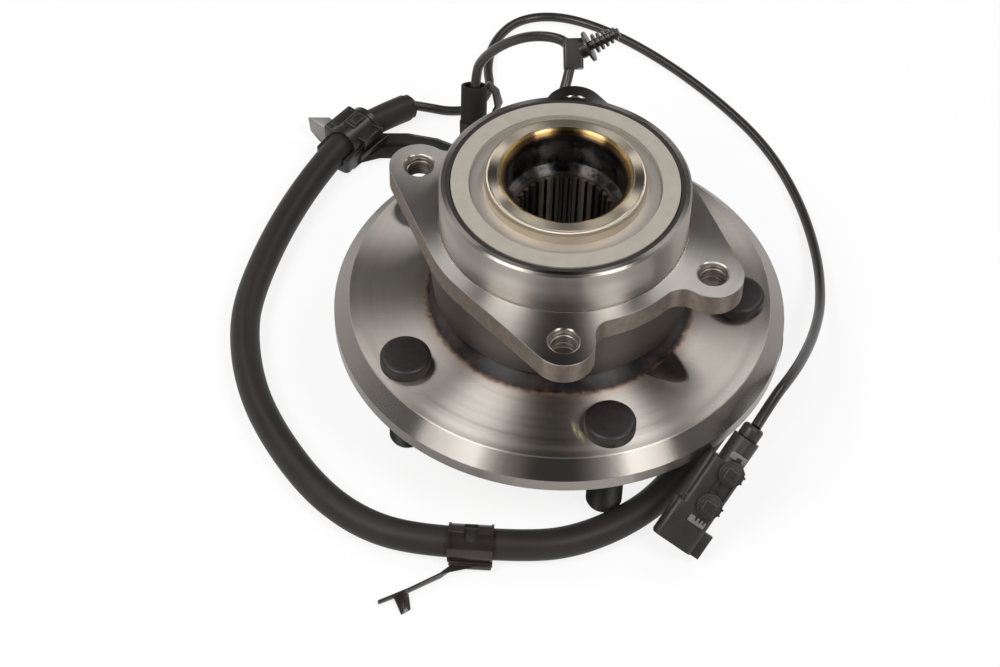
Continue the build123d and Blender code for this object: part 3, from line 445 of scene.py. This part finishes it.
def make_finishes():
    c = colours()
    for make in (make_turned_rings, make_blotches, make_grain, make_zone, make_scratches):
        make()
    FINISHES.update(
        hub=hub_finish(),
        carrier=carrier_finish(),
        ring=turned_finish("Ground ring", (0.68, 0.63, 0.57), 0.42, 0.35, pitch=0.5,
                           depth=0.006)[0],
        ball=plain_finish("Ball steel", (0.70, 0.70, 0.69), 0.1, 0.5, 0.001, 1.0, spread=0.05),
        cage=plain_finish("Cage nylon", (0.32, 0.25, 0.15), 0.5, 0.25, 0.02),
        slinger=plain_finish("Slinger coat", c.slinger, 0.62, 0.35, 0.03, spread=0.14),
        plate=plain_finish("Plated sheet", (0.52, 0.52, 0.50), 0.34, 0.5, 0.004, 1.0),
        thread=plain_finish("Cut thread", (0.25, 0.225, 0.20), 0.42, 0.3, 0.004, 1.0),
        seal=plain_finish("Seal rubber", c.rubber, 0.5, 0.3, 0.02),
        hose=plain_finish("Hose rubber", c.rubber, 0.5, 0.25, 0.03, mottle=16.0, spread=0.3,
                          specular=0.25),
        sleeve=plain_finish("Mouth rubber", shaded(c.rubber, 0.5), 0.6, 0.25, 0.02,
                            specular=0.22),
        jacket=plain_finish("Cable jacket", c.jacket, 0.34, 0.3, 0.008, mottle=12.0),
        plastic=plain_finish("Black plastic", c.black, 0.36, 0.28, 0.018, mottle=8.0),
        shell=plain_finish("Plug plastic", shaded(c.black, 1.3), 0.42, 0.28, 0.018, mottle=8.0,
                           specular=0.38),
        # Near-black, for the painted shade of the plug's grooves and recesses.
        dark=plain_finish("Painted recess shade", (0.003, 0.003, 0.003), 0.7, 0.3, 0.01),
        grey=plain_finish("Grey plastic", c.grey, 0.4, 0.3, 0.012, spread=0.08),
        stud=plain_finish("Phosphated studs", c.phosphate, 0.44, 0.2, 0.015, 0.55, 3.0, 0.35),
        band=plain_finish("Black steel", (0.036, 0.029, 0.027), 0.2, 0.6, 0.004, 0.4, spread=0.3),
        wing=plain_finish("Bare sheet", (0.25, 0.232, 0.22), 0.42, 0.6, 0.006, 0.6, spread=0.2),
        bracket=plain_finish("Bracket steel", (0.035, 0.033, 0.032), 0.3, 0.6, 0.004, 0.5,
                             spread=0.4),
        brass=plain_finish("Tinned pins", (0.70, 0.60, 0.38), 0.28, 0.4, 0.003, 1.0),
    )


NODE_FINISHES = {
    "outer_ring": "carrier", "hub_flange": "hub", "inner_ring": "ring",
    "balls_inboard": "ball", "balls_outboard": "ball", "cage_inboard": "cage",
    "cage_outboard": "cage", "seal_slinger": "slinger", "inboard_seal_case": "plate",
    "inboard_seal_rubber": "seal", "outboard_seal_case": "plate",
    "outboard_seal_rubber": "seal", "tone_ring": "plate", "wheel_studs": "stud",
    "speed_sensor": "plastic", "sensor_o_ring": "seal", "sensor_screw": "plate",
    "sensor_cable": "jacket", "lead_cable": "jacket", "protective_hose": "hose",
    "hose_mouth_sleeve": "sleeve", "hose_end_plug": "hose", "mouth_strap": "band",
    "fir_tree_clip": "plastic", "clip1_base": "plastic", "clip1_cover": "plastic",
    "clip1_bracket": "band", "clip2_band": "band", "clip2_arm": "band",
    "connector_housing": "shell", "connector_seal_cap": "shell",
    "connector_terminals": "brass", "connector_locks": "grey", "connector_mounts": "shell",
}


def finish_with(piece, material):
    piece.data.materials.clear()
    piece.data.materials.append(material)


def put(name, data):
    """A new object in the scene."""
    piece = bpy.data.objects.new(name, data)
    bpy.context.scene.collection.objects.link(piece)
    return piece


def new_piece(name, mesh, body, finish=None):
    piece = put(name, mesh)
    if finish:
        finish_with(piece, FINISHES[finish])
    mesh.shade_smooth()
    mesh.set_sharp_from_angle(angle=math.radians(35))
    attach(piece, body)
    return piece


def look_of(node, mesh, finish=None, body="carrier"):
    """The piece that is shown in this node's place."""
    piece = new_piece(node + "_look", mesh, body, finish)
    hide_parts(node)


def plain_mesh(piece, name):
    """The piece's evaluated shape as a plain mesh; the piece goes."""
    bpy.context.view_layer.update()
    graph = bpy.context.evaluated_depsgraph_get()
    mesh = bpy.data.meshes.new_from_object(piece.evaluated_get(graph))
    mesh.name = name
    piece.modifiers.clear()
    bpy.data.objects.remove(piece)
    return mesh


def mesh_of(form, name):
    mesh = bpy.data.meshes.new(name)
    form.to_mesh(mesh)
    form.free()
    return mesh


def add_edge(holder, radius, segments, angle):
    """Edges sharper than the angle are rounded to this many millimetres."""
    edge = holder.modifiers.new("Edge", "BEVEL")
    edge.width = radius * MM
    edge.segments = segments
    edge.limit_method = "ANGLE"
    edge.angle_limit = math.radians(angle)


def walled(form, name, thickness, bevel=0.0):
    """The open surface as a mesh with a wall, in millimetres, half to each side of it."""
    bmesh.ops.recalc_face_normals(form, faces=form.faces)
    holder = put(name, mesh_of(form, name))
    wall = holder.modifiers.new("Wall", "SOLIDIFY")
    wall.thickness = thickness * MM
    wall.offset = 0
    if bevel:
        add_edge(holder, bevel, 2, 50)
    return plain_mesh(holder, name)


def lathe(profile, segments=48):
    """A profile of (radius, height), in millimetres, turned about Z, with its ends closed."""
    form = bmesh.new()
    turns = [math.tau * i / segments for i in range(segments)]
    rings = [[form.verts.new(metres((r * math.cos(a), r * math.sin(a), z))) for a in turns]
             for r, z in profile]
    for lower, upper in zip(rings, rings[1:]):
        for i in range(segments):
            j = (i + 1) % segments
            form.faces.new((lower[i], lower[j], upper[j], upper[i]))
    form.faces.new(reversed(rings[0]))
    form.faces.new(rings[-1])
    bmesh.ops.recalc_face_normals(form, faces=form.faces)
    return mesh_of(form, "lathe")


def geometry_tree(name, inputs):
    tree = bpy.data.node_groups.new(name, "GeometryNodeTree")
    sockets = {}
    tree.interface.new_socket("Geometry", in_out="INPUT", socket_type="NodeSocketGeometry")
    for label, kind, default in inputs:
        socket = tree.interface.new_socket(label, in_out="INPUT", socket_type=f"NodeSocket{kind}")
        if default is not None:
            socket.default_value = default
        sockets[label] = socket.identifier
    tree.interface.new_socket("Geometry", in_out="OUTPUT", socket_type="NodeSocketGeometry")
    start = tree.nodes.new("NodeGroupInput").outputs
    end = tree.nodes.new("NodeGroupOutput").inputs
    return tree, sockets, start, end


def copies_on(tree, points, item, start, end):
    """The tree's result: a real copy of the item on each point, in the given material."""
    copies = add(tree, "GeometryNodeInstanceOnPoints", {"Points": points, "Instance": item})
    solid = add(tree, "GeometryNodeRealizeInstances", {0: copies.outputs[0]})
    dressed = add(tree, "GeometryNodeSetMaterial",
                  {"Geometry": solid.outputs[0], "Material": start["Material"]})
    tree.links.new(dressed.outputs[0], end[0])


def grow(piece, tree, sockets, values):
    """Put the tree on the piece with these values, then make the result plain."""
    modifier = piece.modifiers.new("Grow", "NODES")
    modifier.node_group = tree
    for label, value in values.items():
        modifier[sockets[label]] = value
    return plain_mesh(piece, piece.name)


# ---- operators ----


class HUB_OT_stage(bpy.types.Operator):
    """Camera, floor and soft studio light"""

    bl_idname = "hub.stage"
    bl_label = "Stage"

    def execute(self, context):
        scene = context.scene
        camera = bpy.data.cameras.new("Camera")
        camera.lens, camera.sensor_width = 79.55, 36.0
        camera.clip_start, camera.clip_end = 0.01, 20
        view = put("Camera", camera)
        eye = Vector((-22.9, -576.6, 599.1)) * MM
        target = Vector((-22.9, -42.7, -18.2)) * MM
        ahead = (target - eye).normalized()
        right = Vector((1, 0, 0))
        up = right.cross(ahead)
        roll = math.radians(1.42)
        side = right * math.cos(roll) + up * math.sin(roll)
        top = up * math.cos(roll) - right * math.sin(roll)
        turn = Matrix((side, top, -ahead)).transposed().to_4x4()
        view.matrix_world = Matrix.Translation(eye) @ turn
        scene.camera = view
        self.floor()
        self.lights()
        self.world(scene)
        scene.view_settings.view_transform = "Standard"
        return {"FINISHED"}

    def floor(self):
        """Pale floor that keeps the shadow and is white to the camera and in reflections."""
        mesh = bpy.data.meshes.new("Floor")
        half, z = 6, FLOOR_Z - 0.1 * MM
        corners = [(-half, -half, z), (half, -half, z), (half, half, z), (-half, half, z)]
        mesh.from_pydata(corners, [], [(0, 1, 2, 3)])
        floor = put("Floor", mesh)
        material, tree, shader = new_material("Floor")
        connect(tree, shader, Base_Color=(0.86, 0.86, 0.86, 1), Roughness=0.9,
                Specular_IOR_Level=0.1)
        glow = add(tree, "ShaderNodeEmission", {"Color": (1, 1, 1, 1), "Strength": 1.0})
        path = add(tree, "ShaderNodeLightPath").outputs
        through = calc(tree, "MAXIMUM", path["Is Camera Ray"], path["Is Transmission Ray"])
        seen = calc(tree, "MAXIMUM", through, path["Is Glossy Ray"])
        # What is left of the surface keeps the shadow.
        whiteness = 0.83
        mix = add(tree, "ShaderNodeMixShader",
                  {0: calc(tree, "MULTIPLY", seen, whiteness), 1: shader.outputs[0],
                   2: glow.outputs[0]})
        tree.links.new(mix.outputs[0], tree.nodes["Material Output"].inputs["Surface"])
        finish_with(floor, material)

    def lights(self):
        """Two softboxes in front and two weaker ones behind; metres and watts."""
        lamps = (
            # name, place, size, power
            ("Left box", (-0.68, -0.52, 1.0), (0.58, 0.55), 10.2),
            ("Right box", (0.62, -0.60, 1.0), (0.42, 0.55), 8.4),
            ("Left back box", (-0.66, 0.52, 1.0), (0.4, 0.5), 3.2),
            ("Right back box", (0.66, 0.52, 1.0), (0.4, 0.5), 3.6),
        )
        for name, where, size, power in lamps:
            lamp = bpy.data.lights.new(name, "AREA")
            lamp.shape = "RECTANGLE"
            lamp.size, lamp.size_y = size
            lamp.energy = power
            holder = put(name, lamp)
            holder.location = where
            holder.rotation_euler = (-Vector(where)).to_track_quat("-Z", "Y").to_euler()

    def world(self, scene):
        """White along the horizon; away from it two banks of light, with dark strips between."""
        world = bpy.data.worlds.new("Studio")
        scene.world = world
        world.use_nodes = True
        tree = world.node_tree
        back = tree.nodes["Background"]
        way = add(tree, "ShaderNodeTexCoord").outputs["Generated"]
        parts = add(tree, "ShaderNodeSeparateXYZ", {0: way}).outputs
        across = calc(tree, "ABSOLUTE", parts[0])
        bank = step(tree, across, 0.12, 0.30)
        beyond = step(tree, across, 0.50, 0.78)
        shade = blend_value(tree, beyond, blend_value(tree, bank, 0.0, 0.34), 0.06)
        height = calc(tree, "ABSOLUTE", parts[2])
        level = blend_value(tree, step(tree, height, 0.155, 0.23), 1.0, shade)
        connect(tree, back, Color=(1, 1, 1, 1), Strength=level)


class HUB_OT_metal(bpy.types.Operator):
    """Finishes of the bearing and its lead"""

    bl_idname = "hub.metal"
    bl_label = "Bearing finishes"

    def execute(self, context):
        make_finishes()
        for node, finish in NODE_FINISHES.items():
            finish_with(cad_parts[node], FINISHES[finish])
        return {"FINISHED"}


class HUB_OT_lead(bpy.types.Operator):
    """Cables and protective hose"""

    bl_idname = "hub.lead"
    bl_label = "Lead"

    def execute(self, context):
        sizes = context.scene.hub_sizes
        cable = sizes.cable
        first = self.cord("sensor_lead", SENSOR_CABLE_ROUTE, cable, "jacket", "sensor_cable")
        hose = self.cord("hose", HOSE_ROUTE, sizes.hose, "hose", "protective_hose")
        second = self.cord("plug_lead", LEAD_CABLE_ROUTE, cable, "jacket", "lead_cable")
        return {"FINISHED"}

    def cord(self, name, route, diameter, finish, node):
        curve = bpy.data.curves.new(name, "CURVE")
        curve.dimensions = "3D"
        line = curve.splines.new("NURBS")
        line.points.add(len(route) - 1)
        for point, where in zip(line.points, route):
            point.co = (*metres(where), 1.0)
        line.order_u = 3
        line.use_endpoint_u = True
        line.resolution_u = 14
        curve.bevel_depth = diameter / 2
        curve.bevel_resolution = 8
        curve.use_fill_caps = True
        piece = put(name, curve)
        curve.materials.append(FINISHES[finish])
        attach(piece, "carrier")
        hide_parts(node)
        return piece


def sheet_mesh(name, points, faces, thickness, bevel=0.0):
    """A pressed sheet through these points, in millimetres, with its thickness added."""
    form = bmesh.new()
    corners = [form.verts.new(metres(p)) for p in points]
    for face in faces:
        form.faces.new([corners[i] for i in face])
    return walled(form, name, thickness, bevel)


def block_mesh(name, centre, way, size, radius=0.5, turn_up=(0, 0, 1)):
    """A block with rounded edges: size along its way, across it and up, in millimetres."""
    ahead = Vector(way).normalized()
    up = (Vector(turn_up) - Vector(turn_up).dot(ahead) * ahead).normalized()
    side = up.cross(ahead)
    frame_of = Matrix((ahead, side, up)).transposed().to_4x4()
    form = bmesh.new()
    bmesh.ops.create_cube(form, size=1)
    bmesh.ops.scale(form, vec=[c * MM for c in size], verts=form.verts)
    bmesh.ops.bevel(form, geom=form.edges[:], offset=radius * MM, segments=3, profile=0.5,
                    affect="EDGES", clamp_overlap=True)
    bmesh.ops.transform(form, matrix=Matrix.Translation(metres(centre)) @ frame_of,
                        verts=form.verts)
    return mesh_of(form, name)


def joined(name, meshes):
    """Several plain meshes as one."""
    form = bmesh.new()
    for mesh in meshes:
        form.from_mesh(mesh)
        bpy.data.meshes.remove(mesh)
    return mesh_of(form, name)


def shell_mesh(name, centre, way, inner, outer, length, start, end, slot=None, count=64, rows=34):
    """Part of a tube's wall round a cord, from one angle to another, with a slot if asked.

    Angles are degrees from straight up; the slot is (from, to, half width) and its foot
    is rounded.
    """
    ahead = Vector(way).normalized()
    up = (Vector((0, 0, 1)) - ahead.z * ahead).normalized()
    side = ahead.cross(up)
    middle = Vector(metres(centre))
    radius = (inner + outer) / 2 * MM
    form = bmesh.new()
    grid = []
    for i in range(count + 1):
        a = math.radians(start + (end - start) * i / count)
        out = up * math.cos(a) + side * math.sin(a)
        edge, whole = middle + out * radius, ahead * (length * MM)
        grid.append([form.verts.new(edge + whole * (j / rows - 0.5)) for j in range(rows + 1)])
    for i in range(count):
        angle = start + (end - start) * (i + 0.5) / count
        for j in range(rows):
            at = ((j + 0.5) / rows - 0.5) * length
            if slot and slot[0] < angle < slot[1]:
                left = (slot[1] - angle) * math.radians(1) * radius / MM
                half = slot[2]
                reach = half if left > half else math.sqrt(max(0.0, half**2 - (half - left) ** 2))
                if abs(at) < reach:
                    continue
            form.faces.new((grid[i][j], grid[i][j + 1], grid[i + 1][j + 1], grid[i + 1][j]))
    loose = [v for v in form.verts if not v.link_faces]
    bmesh.ops.delete(form, geom=loose, context="VERTS")
    return walled(form, name, outer - inner)


class HUB_OT_studs(bpy.types.Operator):
    """Five wheel studs, with domed heads and threads"""

    bl_idname = "hub.studs"
    bl_label = "Wheel studs"

    def execute(self, context):
        sizes = context.scene.hub_sizes
        r, pitch = sizes.stud_radius / MM, sizes.stud_pitch / MM
        # Heights in millimetres: the head's seat, the flange's far face and the stud's end.
        face, back, foot = -41.4, -54.0, FLOOR_Z / MM
        head, tall = sizes.stud_head / MM, sizes.stud_head_height / MM
        profile = [(0.6, foot), (r - 2.0, foot), (r - 0.6, foot + 1.4)]
        z = foot + 2.0
        while z + pitch < back - 1.0:
            profile += [(r - 0.8, z), (r, z + pitch * 0.5)]
            z += pitch
        shank = sizes.stud_shank / MM
        profile += [(r - 0.8, z), (r - 0.4, back - 0.6), (shank, back), (shank, face)]
        dome = ((0, 0), (0, 0.74), (0.25, 0.86), (0.9, 0.95), (2.0, 0.985), (head - 0.6, 1))
        profile += [(head - inset, face + tall * share) for inset, share in dome]
        stud = put("wheel_studs_look", lathe(profile))
        tree, sockets, start, end = geometry_tree(
            "Ring of studs",
            (("Radius", "Float", 0.07), ("Count", "Int", 5), ("Start", "Float", 0.0),
             ("Material", "Material", None)),
        )
        circle = add(tree, "GeometryNodeMeshCircle",
                     {"Vertices": start["Count"], "Radius": start["Radius"]})
        turn = add(tree, "ShaderNodeCombineXYZ", {2: start["Start"]})
        turned = add(tree, "GeometryNodeTransform",
                     {"Geometry": circle.outputs[0], "Rotation": turn.outputs[0]})
        copies_on(tree, turned.outputs[0], start["Geometry"], start, end)
        values = {"Radius": sizes.stud_circle, "Count": 5, "Start": math.radians(STUD_START),
                  "Material": FINISHES["stud"]}
        look_of("wheel_studs", grow(stud, tree, sockets, values), body="hub")
        return {"FINISHED"}


class HUB_OT_ear_threads(bpy.types.Operator):
    """Helical threads in the ears' holes"""

    bl_idname = "hub.ear_threads"
    bl_label = "Ear threads"

    def execute(self, context):
        sizes = context.scene.hub_sizes
        mesh = bpy.data.meshes.new("ear_places")
        low, height = -9.5 * MM, 8.9 * MM
        turns = [Matrix.Rotation(math.radians(angle), 3, "Z") for angle in EAR_ANGLES]
        reach = Vector((sizes.ear_circle, 0, low))
        mesh.from_pydata([turn @ reach for turn in turns], [], [])
        holder = put("ear_threads", mesh)
        tree, sockets, start, end = geometry_tree(
            "Ear threads",
            (("Radius", "Float", 0.005), ("Turns", "Float", 5.0), ("Height", "Float", 0.009),
             ("Ridge", "Float", 0.0005), ("Material", "Material", None)),
        )
        helix = add(tree, "GeometryNodeCurveSpiral",
                    {"Resolution": 40, "Rotations": start["Turns"], "Height": start["Height"],
                     "Start Radius": start["Radius"], "End Radius": start["Radius"]})
        ridge = add(tree, "GeometryNodeCurvePrimitiveCircle",
                    {"Resolution": 4, "Radius": start["Ridge"]})
        thread = add(tree, "GeometryNodeCurveToMesh",
                     {"Curve": helix.outputs[0], "Profile Curve": ridge.outputs[0],
                      "Fill Caps": True})
        copies_on(tree, start["Geometry"], thread.outputs[0], start, end)
        values = {"Radius": sizes.ear_thread - 0.1 * MM, "Turns": height / sizes.ear_pitch,
                  "Height": height, "Ridge": 0.32 * MM, "Material": FINISHES["thread"]}
        grown = grow(holder, tree, sockets, values)
        new_piece("ear_threads", grown, "carrier")
        return {"FINISHED"}


class HUB_OT_edges(bpy.types.Operator):
    """Moulded and pressed pieces with their edges rounded"""

    bl_idname = "hub.edges"
    bl_label = "Rounded edges"

    def execute(self, context):
        rounded = (
            # node, radius in mm
            ("clip1_base", 0.7),
            ("connector_housing", 0.6), ("connector_seal_cap", 0.6), ("connector_locks", 0.35),
            ("connector_mounts", 0.25), ("fir_tree_clip", 0.4), ("hose_mouth_sleeve", 0.4),
        )
        for node, radius in rounded:
            form = bmesh.new()
            form.from_mesh(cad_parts[node].data)
            bmesh.ops.remove_doubles(form, verts=form.verts, dist=1e-6)
            bmesh.ops.dissolve_limit(form, angle_limit=math.radians(3), verts=form.verts,
                                     edges=form.edges)
            holder = put(node, mesh_of(form, node))
            add_edge(holder, radius, 3, 35)
            look_of(node, plain_mesh(holder, node + "_look"), NODE_FINISHES[node])
        return {"FINISHED"}


class HUB_OT_band_clip(bpy.types.Operator):
    """Steel band clip on the front of the hose, with its arm and tab"""

    bl_idname = "hub.band_clip"
    bl_label = "Band clip"

    def execute(self, context):
        (x, y, z), way = (-31.9, -93.8, -79.8), (0.999, -0.04, 0)
        band = shell_mesh("band", (x, y, z), way, 6.05, 7.2, 17.0, -196, 152,
                          slot=(-60, 34, 2.7))
        lips = [shell_mesh("lip", (x + at, y - at * 0.04, z), way, 7.1, 7.6, 1.0,
                           -190, 146, rows=2) for at in (-8.0, 8.0)]
        # The lips lie flat where they touch the floor.
        for lip in lips:
            for vertex in lip.vertices:
                vertex.co.z = max(vertex.co.z, FLOOR_Z)
        crimp = [block_mesh("crimp", (x, -101.2, -82.0 - drop), way, (16.6, 1.0, 0.8), 0.3)
                 for drop in (0.0, 1.6)]
        foot = block_mesh("foot", (x, -101.3, -83.6), way, (15.8, 2.2, 2.6), 0.4)
        look_of("clip2_band", joined("clip2_band_look", [band, *lips, *crimp, foot]), "band")
        arm = sheet_mesh(
            "arm",
            ((-38.8, -101.9, -82.6), (-30.5, -102.3, -83.2), (-42.8, -105.6, -83.0),
             (-54.0, -112.1, -83.6), (-65.6, -118.0, -84.0),
             (-38.8, -101.4, -86.2), (-42.8, -105.2, -86.2), (-54.0, -111.8, -86.3),
             (-65.6, -117.7, -86.3)),
            ((0, 2, 6, 5), (2, 3, 7, 6), (3, 4, 8, 7), (0, 1, 2)),
            0.9, 0.2)
        tab = sheet_mesh(
            "tab",
            ((-60.5, -114.9, -84.0), (-54.7, -112.1, -83.8), (-53.4, -119.9, -86.3),
             (-56.8, -122.3, -86.3)),
            ((0, 1, 2, 3),), 1.0, 0.3)
        rib = block_mesh("rib", (-56.0, -117.6, -84.9), (0.1, -0.95, -0.3), (5.0, 1.0, 0.6), 0.25)
        look_of("clip2_arm", joined("clip2_arm_look", [arm, tab, rib]), "band")
        return {"FINISHED"}


class HUB_OT_hose_clip(bpy.types.Operator):
    """Plastic clip near the hose's end, with its bracket and wing"""

    bl_idname = "hub.hose_clip"
    bl_label = "Hose clip"

    def execute(self, context):
        along, across = (-0.60, -0.80, 0), (0.80, -0.60, 0)
        shells = (
            # name, centre, outer radius, length, half angle, rows
            ("saddle", (-88.6, 124.0, -78.4), 7.6, 15.0, 100, 4),
            ("hoop", (-93.6, 117.4, -78.4), 8.1, 2.4, 112, 2),
            ("rear", (-84.6, 129.4, -78.4), 8.1, 2.4, 112, 2),
        )
        meshes = [shell_mesh(name, centre, along, 6.15, outer, length, -half, half, rows=rows)
                  for name, centre, outer, length, half, rows in shells]
        blocks = (
            # name, centre, way, size, edge radius
            ("cheek", (-95.0, 127.4, -76.6), along, (17.0, 5.4, 7.2), 0.8),
            ("ledge", (-94.0, 126.6, -73.0), along, (12.5, 4.6, 1.8), 0.6),
            ("lug", (-88.4, 124.2, -70.9), along, (9.0, 6.2, 1.6), 0.75),
            ("boss", (-87.6, 123.6, -69.9), along, (6.4, 4.2, 1.3), 0.6),
            ("right", (-81.3, 120.6, -77.6), along, (12.0, 3.6, 6.0), 0.6),
            ("rib", (-85.2, 115.6, -74.3), across, (4.2, 1.3, 1.1), 0.4),
            ("rib", (-79.0, 123.8, -74.3), across, (4.2, 1.3, 1.1), 0.4),
        )
        meshes += [block_mesh(*block) for block in blocks]
        look_of("clip1_cover", joined("clip1_cover_look", meshes), "plastic")
        return self.bracket()

    def bracket(self):
        # Along the arm: x, y and its heading in radians.
        stations = ((-88.0, 118.0, 0.0), (-78.0, 122.0, 0.05), (-66.0, 122.4, -0.04),
                    (-54.0, 119.8, -0.22), (-44.0, 114.6, -0.48), (-38.0, 110.8, -0.6))
        # Across the arm: a flange, a rounded ridge, a valley and a lower flange.
        section = ((-6.5, -2.8), (-5.6, -0.4), (-3.6, 0.6), (-1.4, 0.3), (0.0, -2.6),
                   (1.8, -3.0), (3.6, -0.9), (5.6, -0.9), (6.5, -2.8))
        base = -82.4
        points = [(x + math.sin(heading) * out, y - math.cos(heading) * out, base + up)
                  for x, y, heading in stations for out, up in section]
        n = len(section)
        first = [i * n + j for i in range(len(stations) - 1) for j in range(n - 1)]
        faces = [(k, k + 1, k + n + 1, k + n) for k in first]
        arm = sheet_mesh("arm", points, faces, 1.3)
        wing = sheet_mesh(
            "wing",
            ((-109.6, 131.4, -77.0), (-100.2, 129.6, -75.4), (-95.8, 125.6, -75.4),
             (-96.2, 118.6, -76.4), (-108.4, 128.2, -81.8), (-104.2, 123.4, -83.6),
             (-99.8, 120.6, -84.0)),
            ((0, 1, 2, 3), (0, 3, 6, 5, 4)), 1.1, 0.2)
        tray = block_mesh("tray", (-88.8, 121.8, -86.0), (-0.60, -0.80, 0), (20.0, 15.5, 1.2), 0.3)
        strip = block_mesh("strip", (-79.7, 117.4, -80.6), (0.62, 0.78, 0), (18.0, 0.8, 2.4), 0.3)
        new_piece("clip1_wing", wing, "carrier", "wing")
        look_of("clip1_bracket", joined("clip1_bracket_look", [arm, tray, strip]), "bracket")
        return {"FINISHED"}


class HUB_OT_mouth(bpy.types.Operator):
    """Bent strap beside the mouth of the hose"""

    bl_idname = "hub.mouth"
    bl_label = "Mouth strap"

    def execute(self, context):
        strap = sheet_mesh(
            "mouth_strap_look",
            ((-31.4, 119.6, -44.4), (-30.4, 123.2, -45.2), (-28.6, 119.8, -48.6),
             (-26.2, 123.4, -49.8), (-27.4, 118.4, -55.4), (-24.4, 122.4, -56.4),
             (-29.6, 116.8, -60.4), (-26.6, 120.6, -62.0)),
            ((0, 1, 3, 2), (2, 3, 5, 4), (4, 5, 7, 6)), 1.0, 0.2)
        look_of("mouth_strap", strap, "band")
        return {"FINISHED"}


class HUB_OT_plug(bpy.types.Operator):
    """Small features of the plug: the mounts' barbs and pads, and near-black blocks as painted
    shade for its grooves, latch recesses and lock notches
    """

    bl_idname = "hub.plug"
    bl_label = "Plug details"

    def execute(self, context):
        nose = Vector((44.9, -92.3, -79.1))
        ahead = Vector((-0.538, -0.576, -0.615)).normalized()
        up = Vector((-0.048, -0.708, 0.705))
        up = (up - up.dot(ahead) * ahead).normalized()
        side = up.cross(ahead)

        def block(back, across, rise, size, radius):
            """A block this far back from the nose, across the plug and up."""
            centre = nose - ahead * back + side * across + up * rise
            return block_mesh("block", centre, ahead, size, radius, up)

        # Painted shade: near-black strips laid a little proud of the housing, standing in for its
        # grooves.
        painted_shade_blocks = [block(27.0, across, 6.0, (9.5, 0.45, 0.5), 0.12) for across in (-1.6, 1.2, 4.2)]
        raised = [block(back, -7.0, 1.0, (1.2, 1.6, 9.0), 0.4) for back in (18.5, 35.0)]
        disc, middle, rim = 4.8, 1.6, 10.4
        for back in (19.8, 34.2):
            raised.append(block(back - 0.3, middle, rim, (5.2, 5.6, 1.2), 0.5))
            # Painted shade: a near-black square on the pad, standing in for its latch recess.
            painted_shade_blocks.append(block(back + 0.1, middle - 0.3, rim + 0.25, (2.8, 3.2, 0.9), 0.2))
            for shift in (-3.4, -1.2, 1.2):
                edge = middle + math.sqrt(disc**2 - shift**2)
                raised.append(block(back + shift, edge, 6.8, (0.9, 1.3, 1.2), 0.35))
        # Painted shade: near-black blocks on the locks, standing in for their notches.
        lock_notch_shade = ((12.9, 0.2, 6.85, 0.9), (12.9, 1.9, 6.85, 0.9), (12.9, 3.4, 6.85, 0.7),
                      (39.9, 1.0, 6.25, 2.2))
        painted_shade_blocks += [block(back, across, rise, (1.5, wide, 0.9), 0.2)
                 for back, across, rise, wide in lock_notch_shade]
        new_piece("plug_painted_shade", joined("plug_painted_shade", painted_shade_blocks), "carrier", "dark")
        new_piece("plug_details", joined("plug_details", raised), "carrier", "shell")
        return {"FINISHED"}


class HUB_PT_panel(bpy.types.Panel):
    bl_label = "Wheel Hub Bearing"
    bl_idname = "HUB_PT_panel"
    bl_space_type = "VIEW_3D"
    bl_region_type = "UI"
    bl_category = "Hub"

    def draw(self, context):
        layout = self.layout
        for operator in OPERATORS:
            layout.operator(operator.bl_idname)
        for group in (context.scene.hub_sizes, context.scene.hub_colours):
            for key in group.__annotations__:
                layout.prop(group, key)


OPERATORS = (HUB_OT_stage, HUB_OT_metal, HUB_OT_studs, HUB_OT_ear_threads, HUB_OT_edges,
             HUB_OT_band_clip, HUB_OT_hose_clip, HUB_OT_mouth, HUB_OT_plug, HUB_OT_lead)
CLASSES = (HubSizes, HubColours, *OPERATORS, HUB_PT_panel)


def register():
    for item in CLASSES:
        bpy.utils.register_class(item)
    bpy.types.Scene.hub_sizes = bpy.props.PointerProperty(type=HubSizes)
    bpy.types.Scene.hub_colours = bpy.props.PointerProperty(type=HubColours)


def unregister():
    del bpy.types.Scene.hub_colours
    del bpy.types.Scene.hub_sizes
    for item in reversed(CLASSES):
        bpy.utils.unregister_class(item)


def main():
    register()
    bpy.ops.hub.stage()
    bpy.ops.hub.metal()
    bpy.ops.hub.studs()
    bpy.ops.hub.ear_threads()
    bpy.ops.hub.edges()
    bpy.ops.hub.band_clip()
    bpy.ops.hub.hose_clip()
    bpy.ops.hub.mouth()
    bpy.ops.hub.plug()
    bpy.ops.hub.lead()


if __name__ == "__main__":
    main()
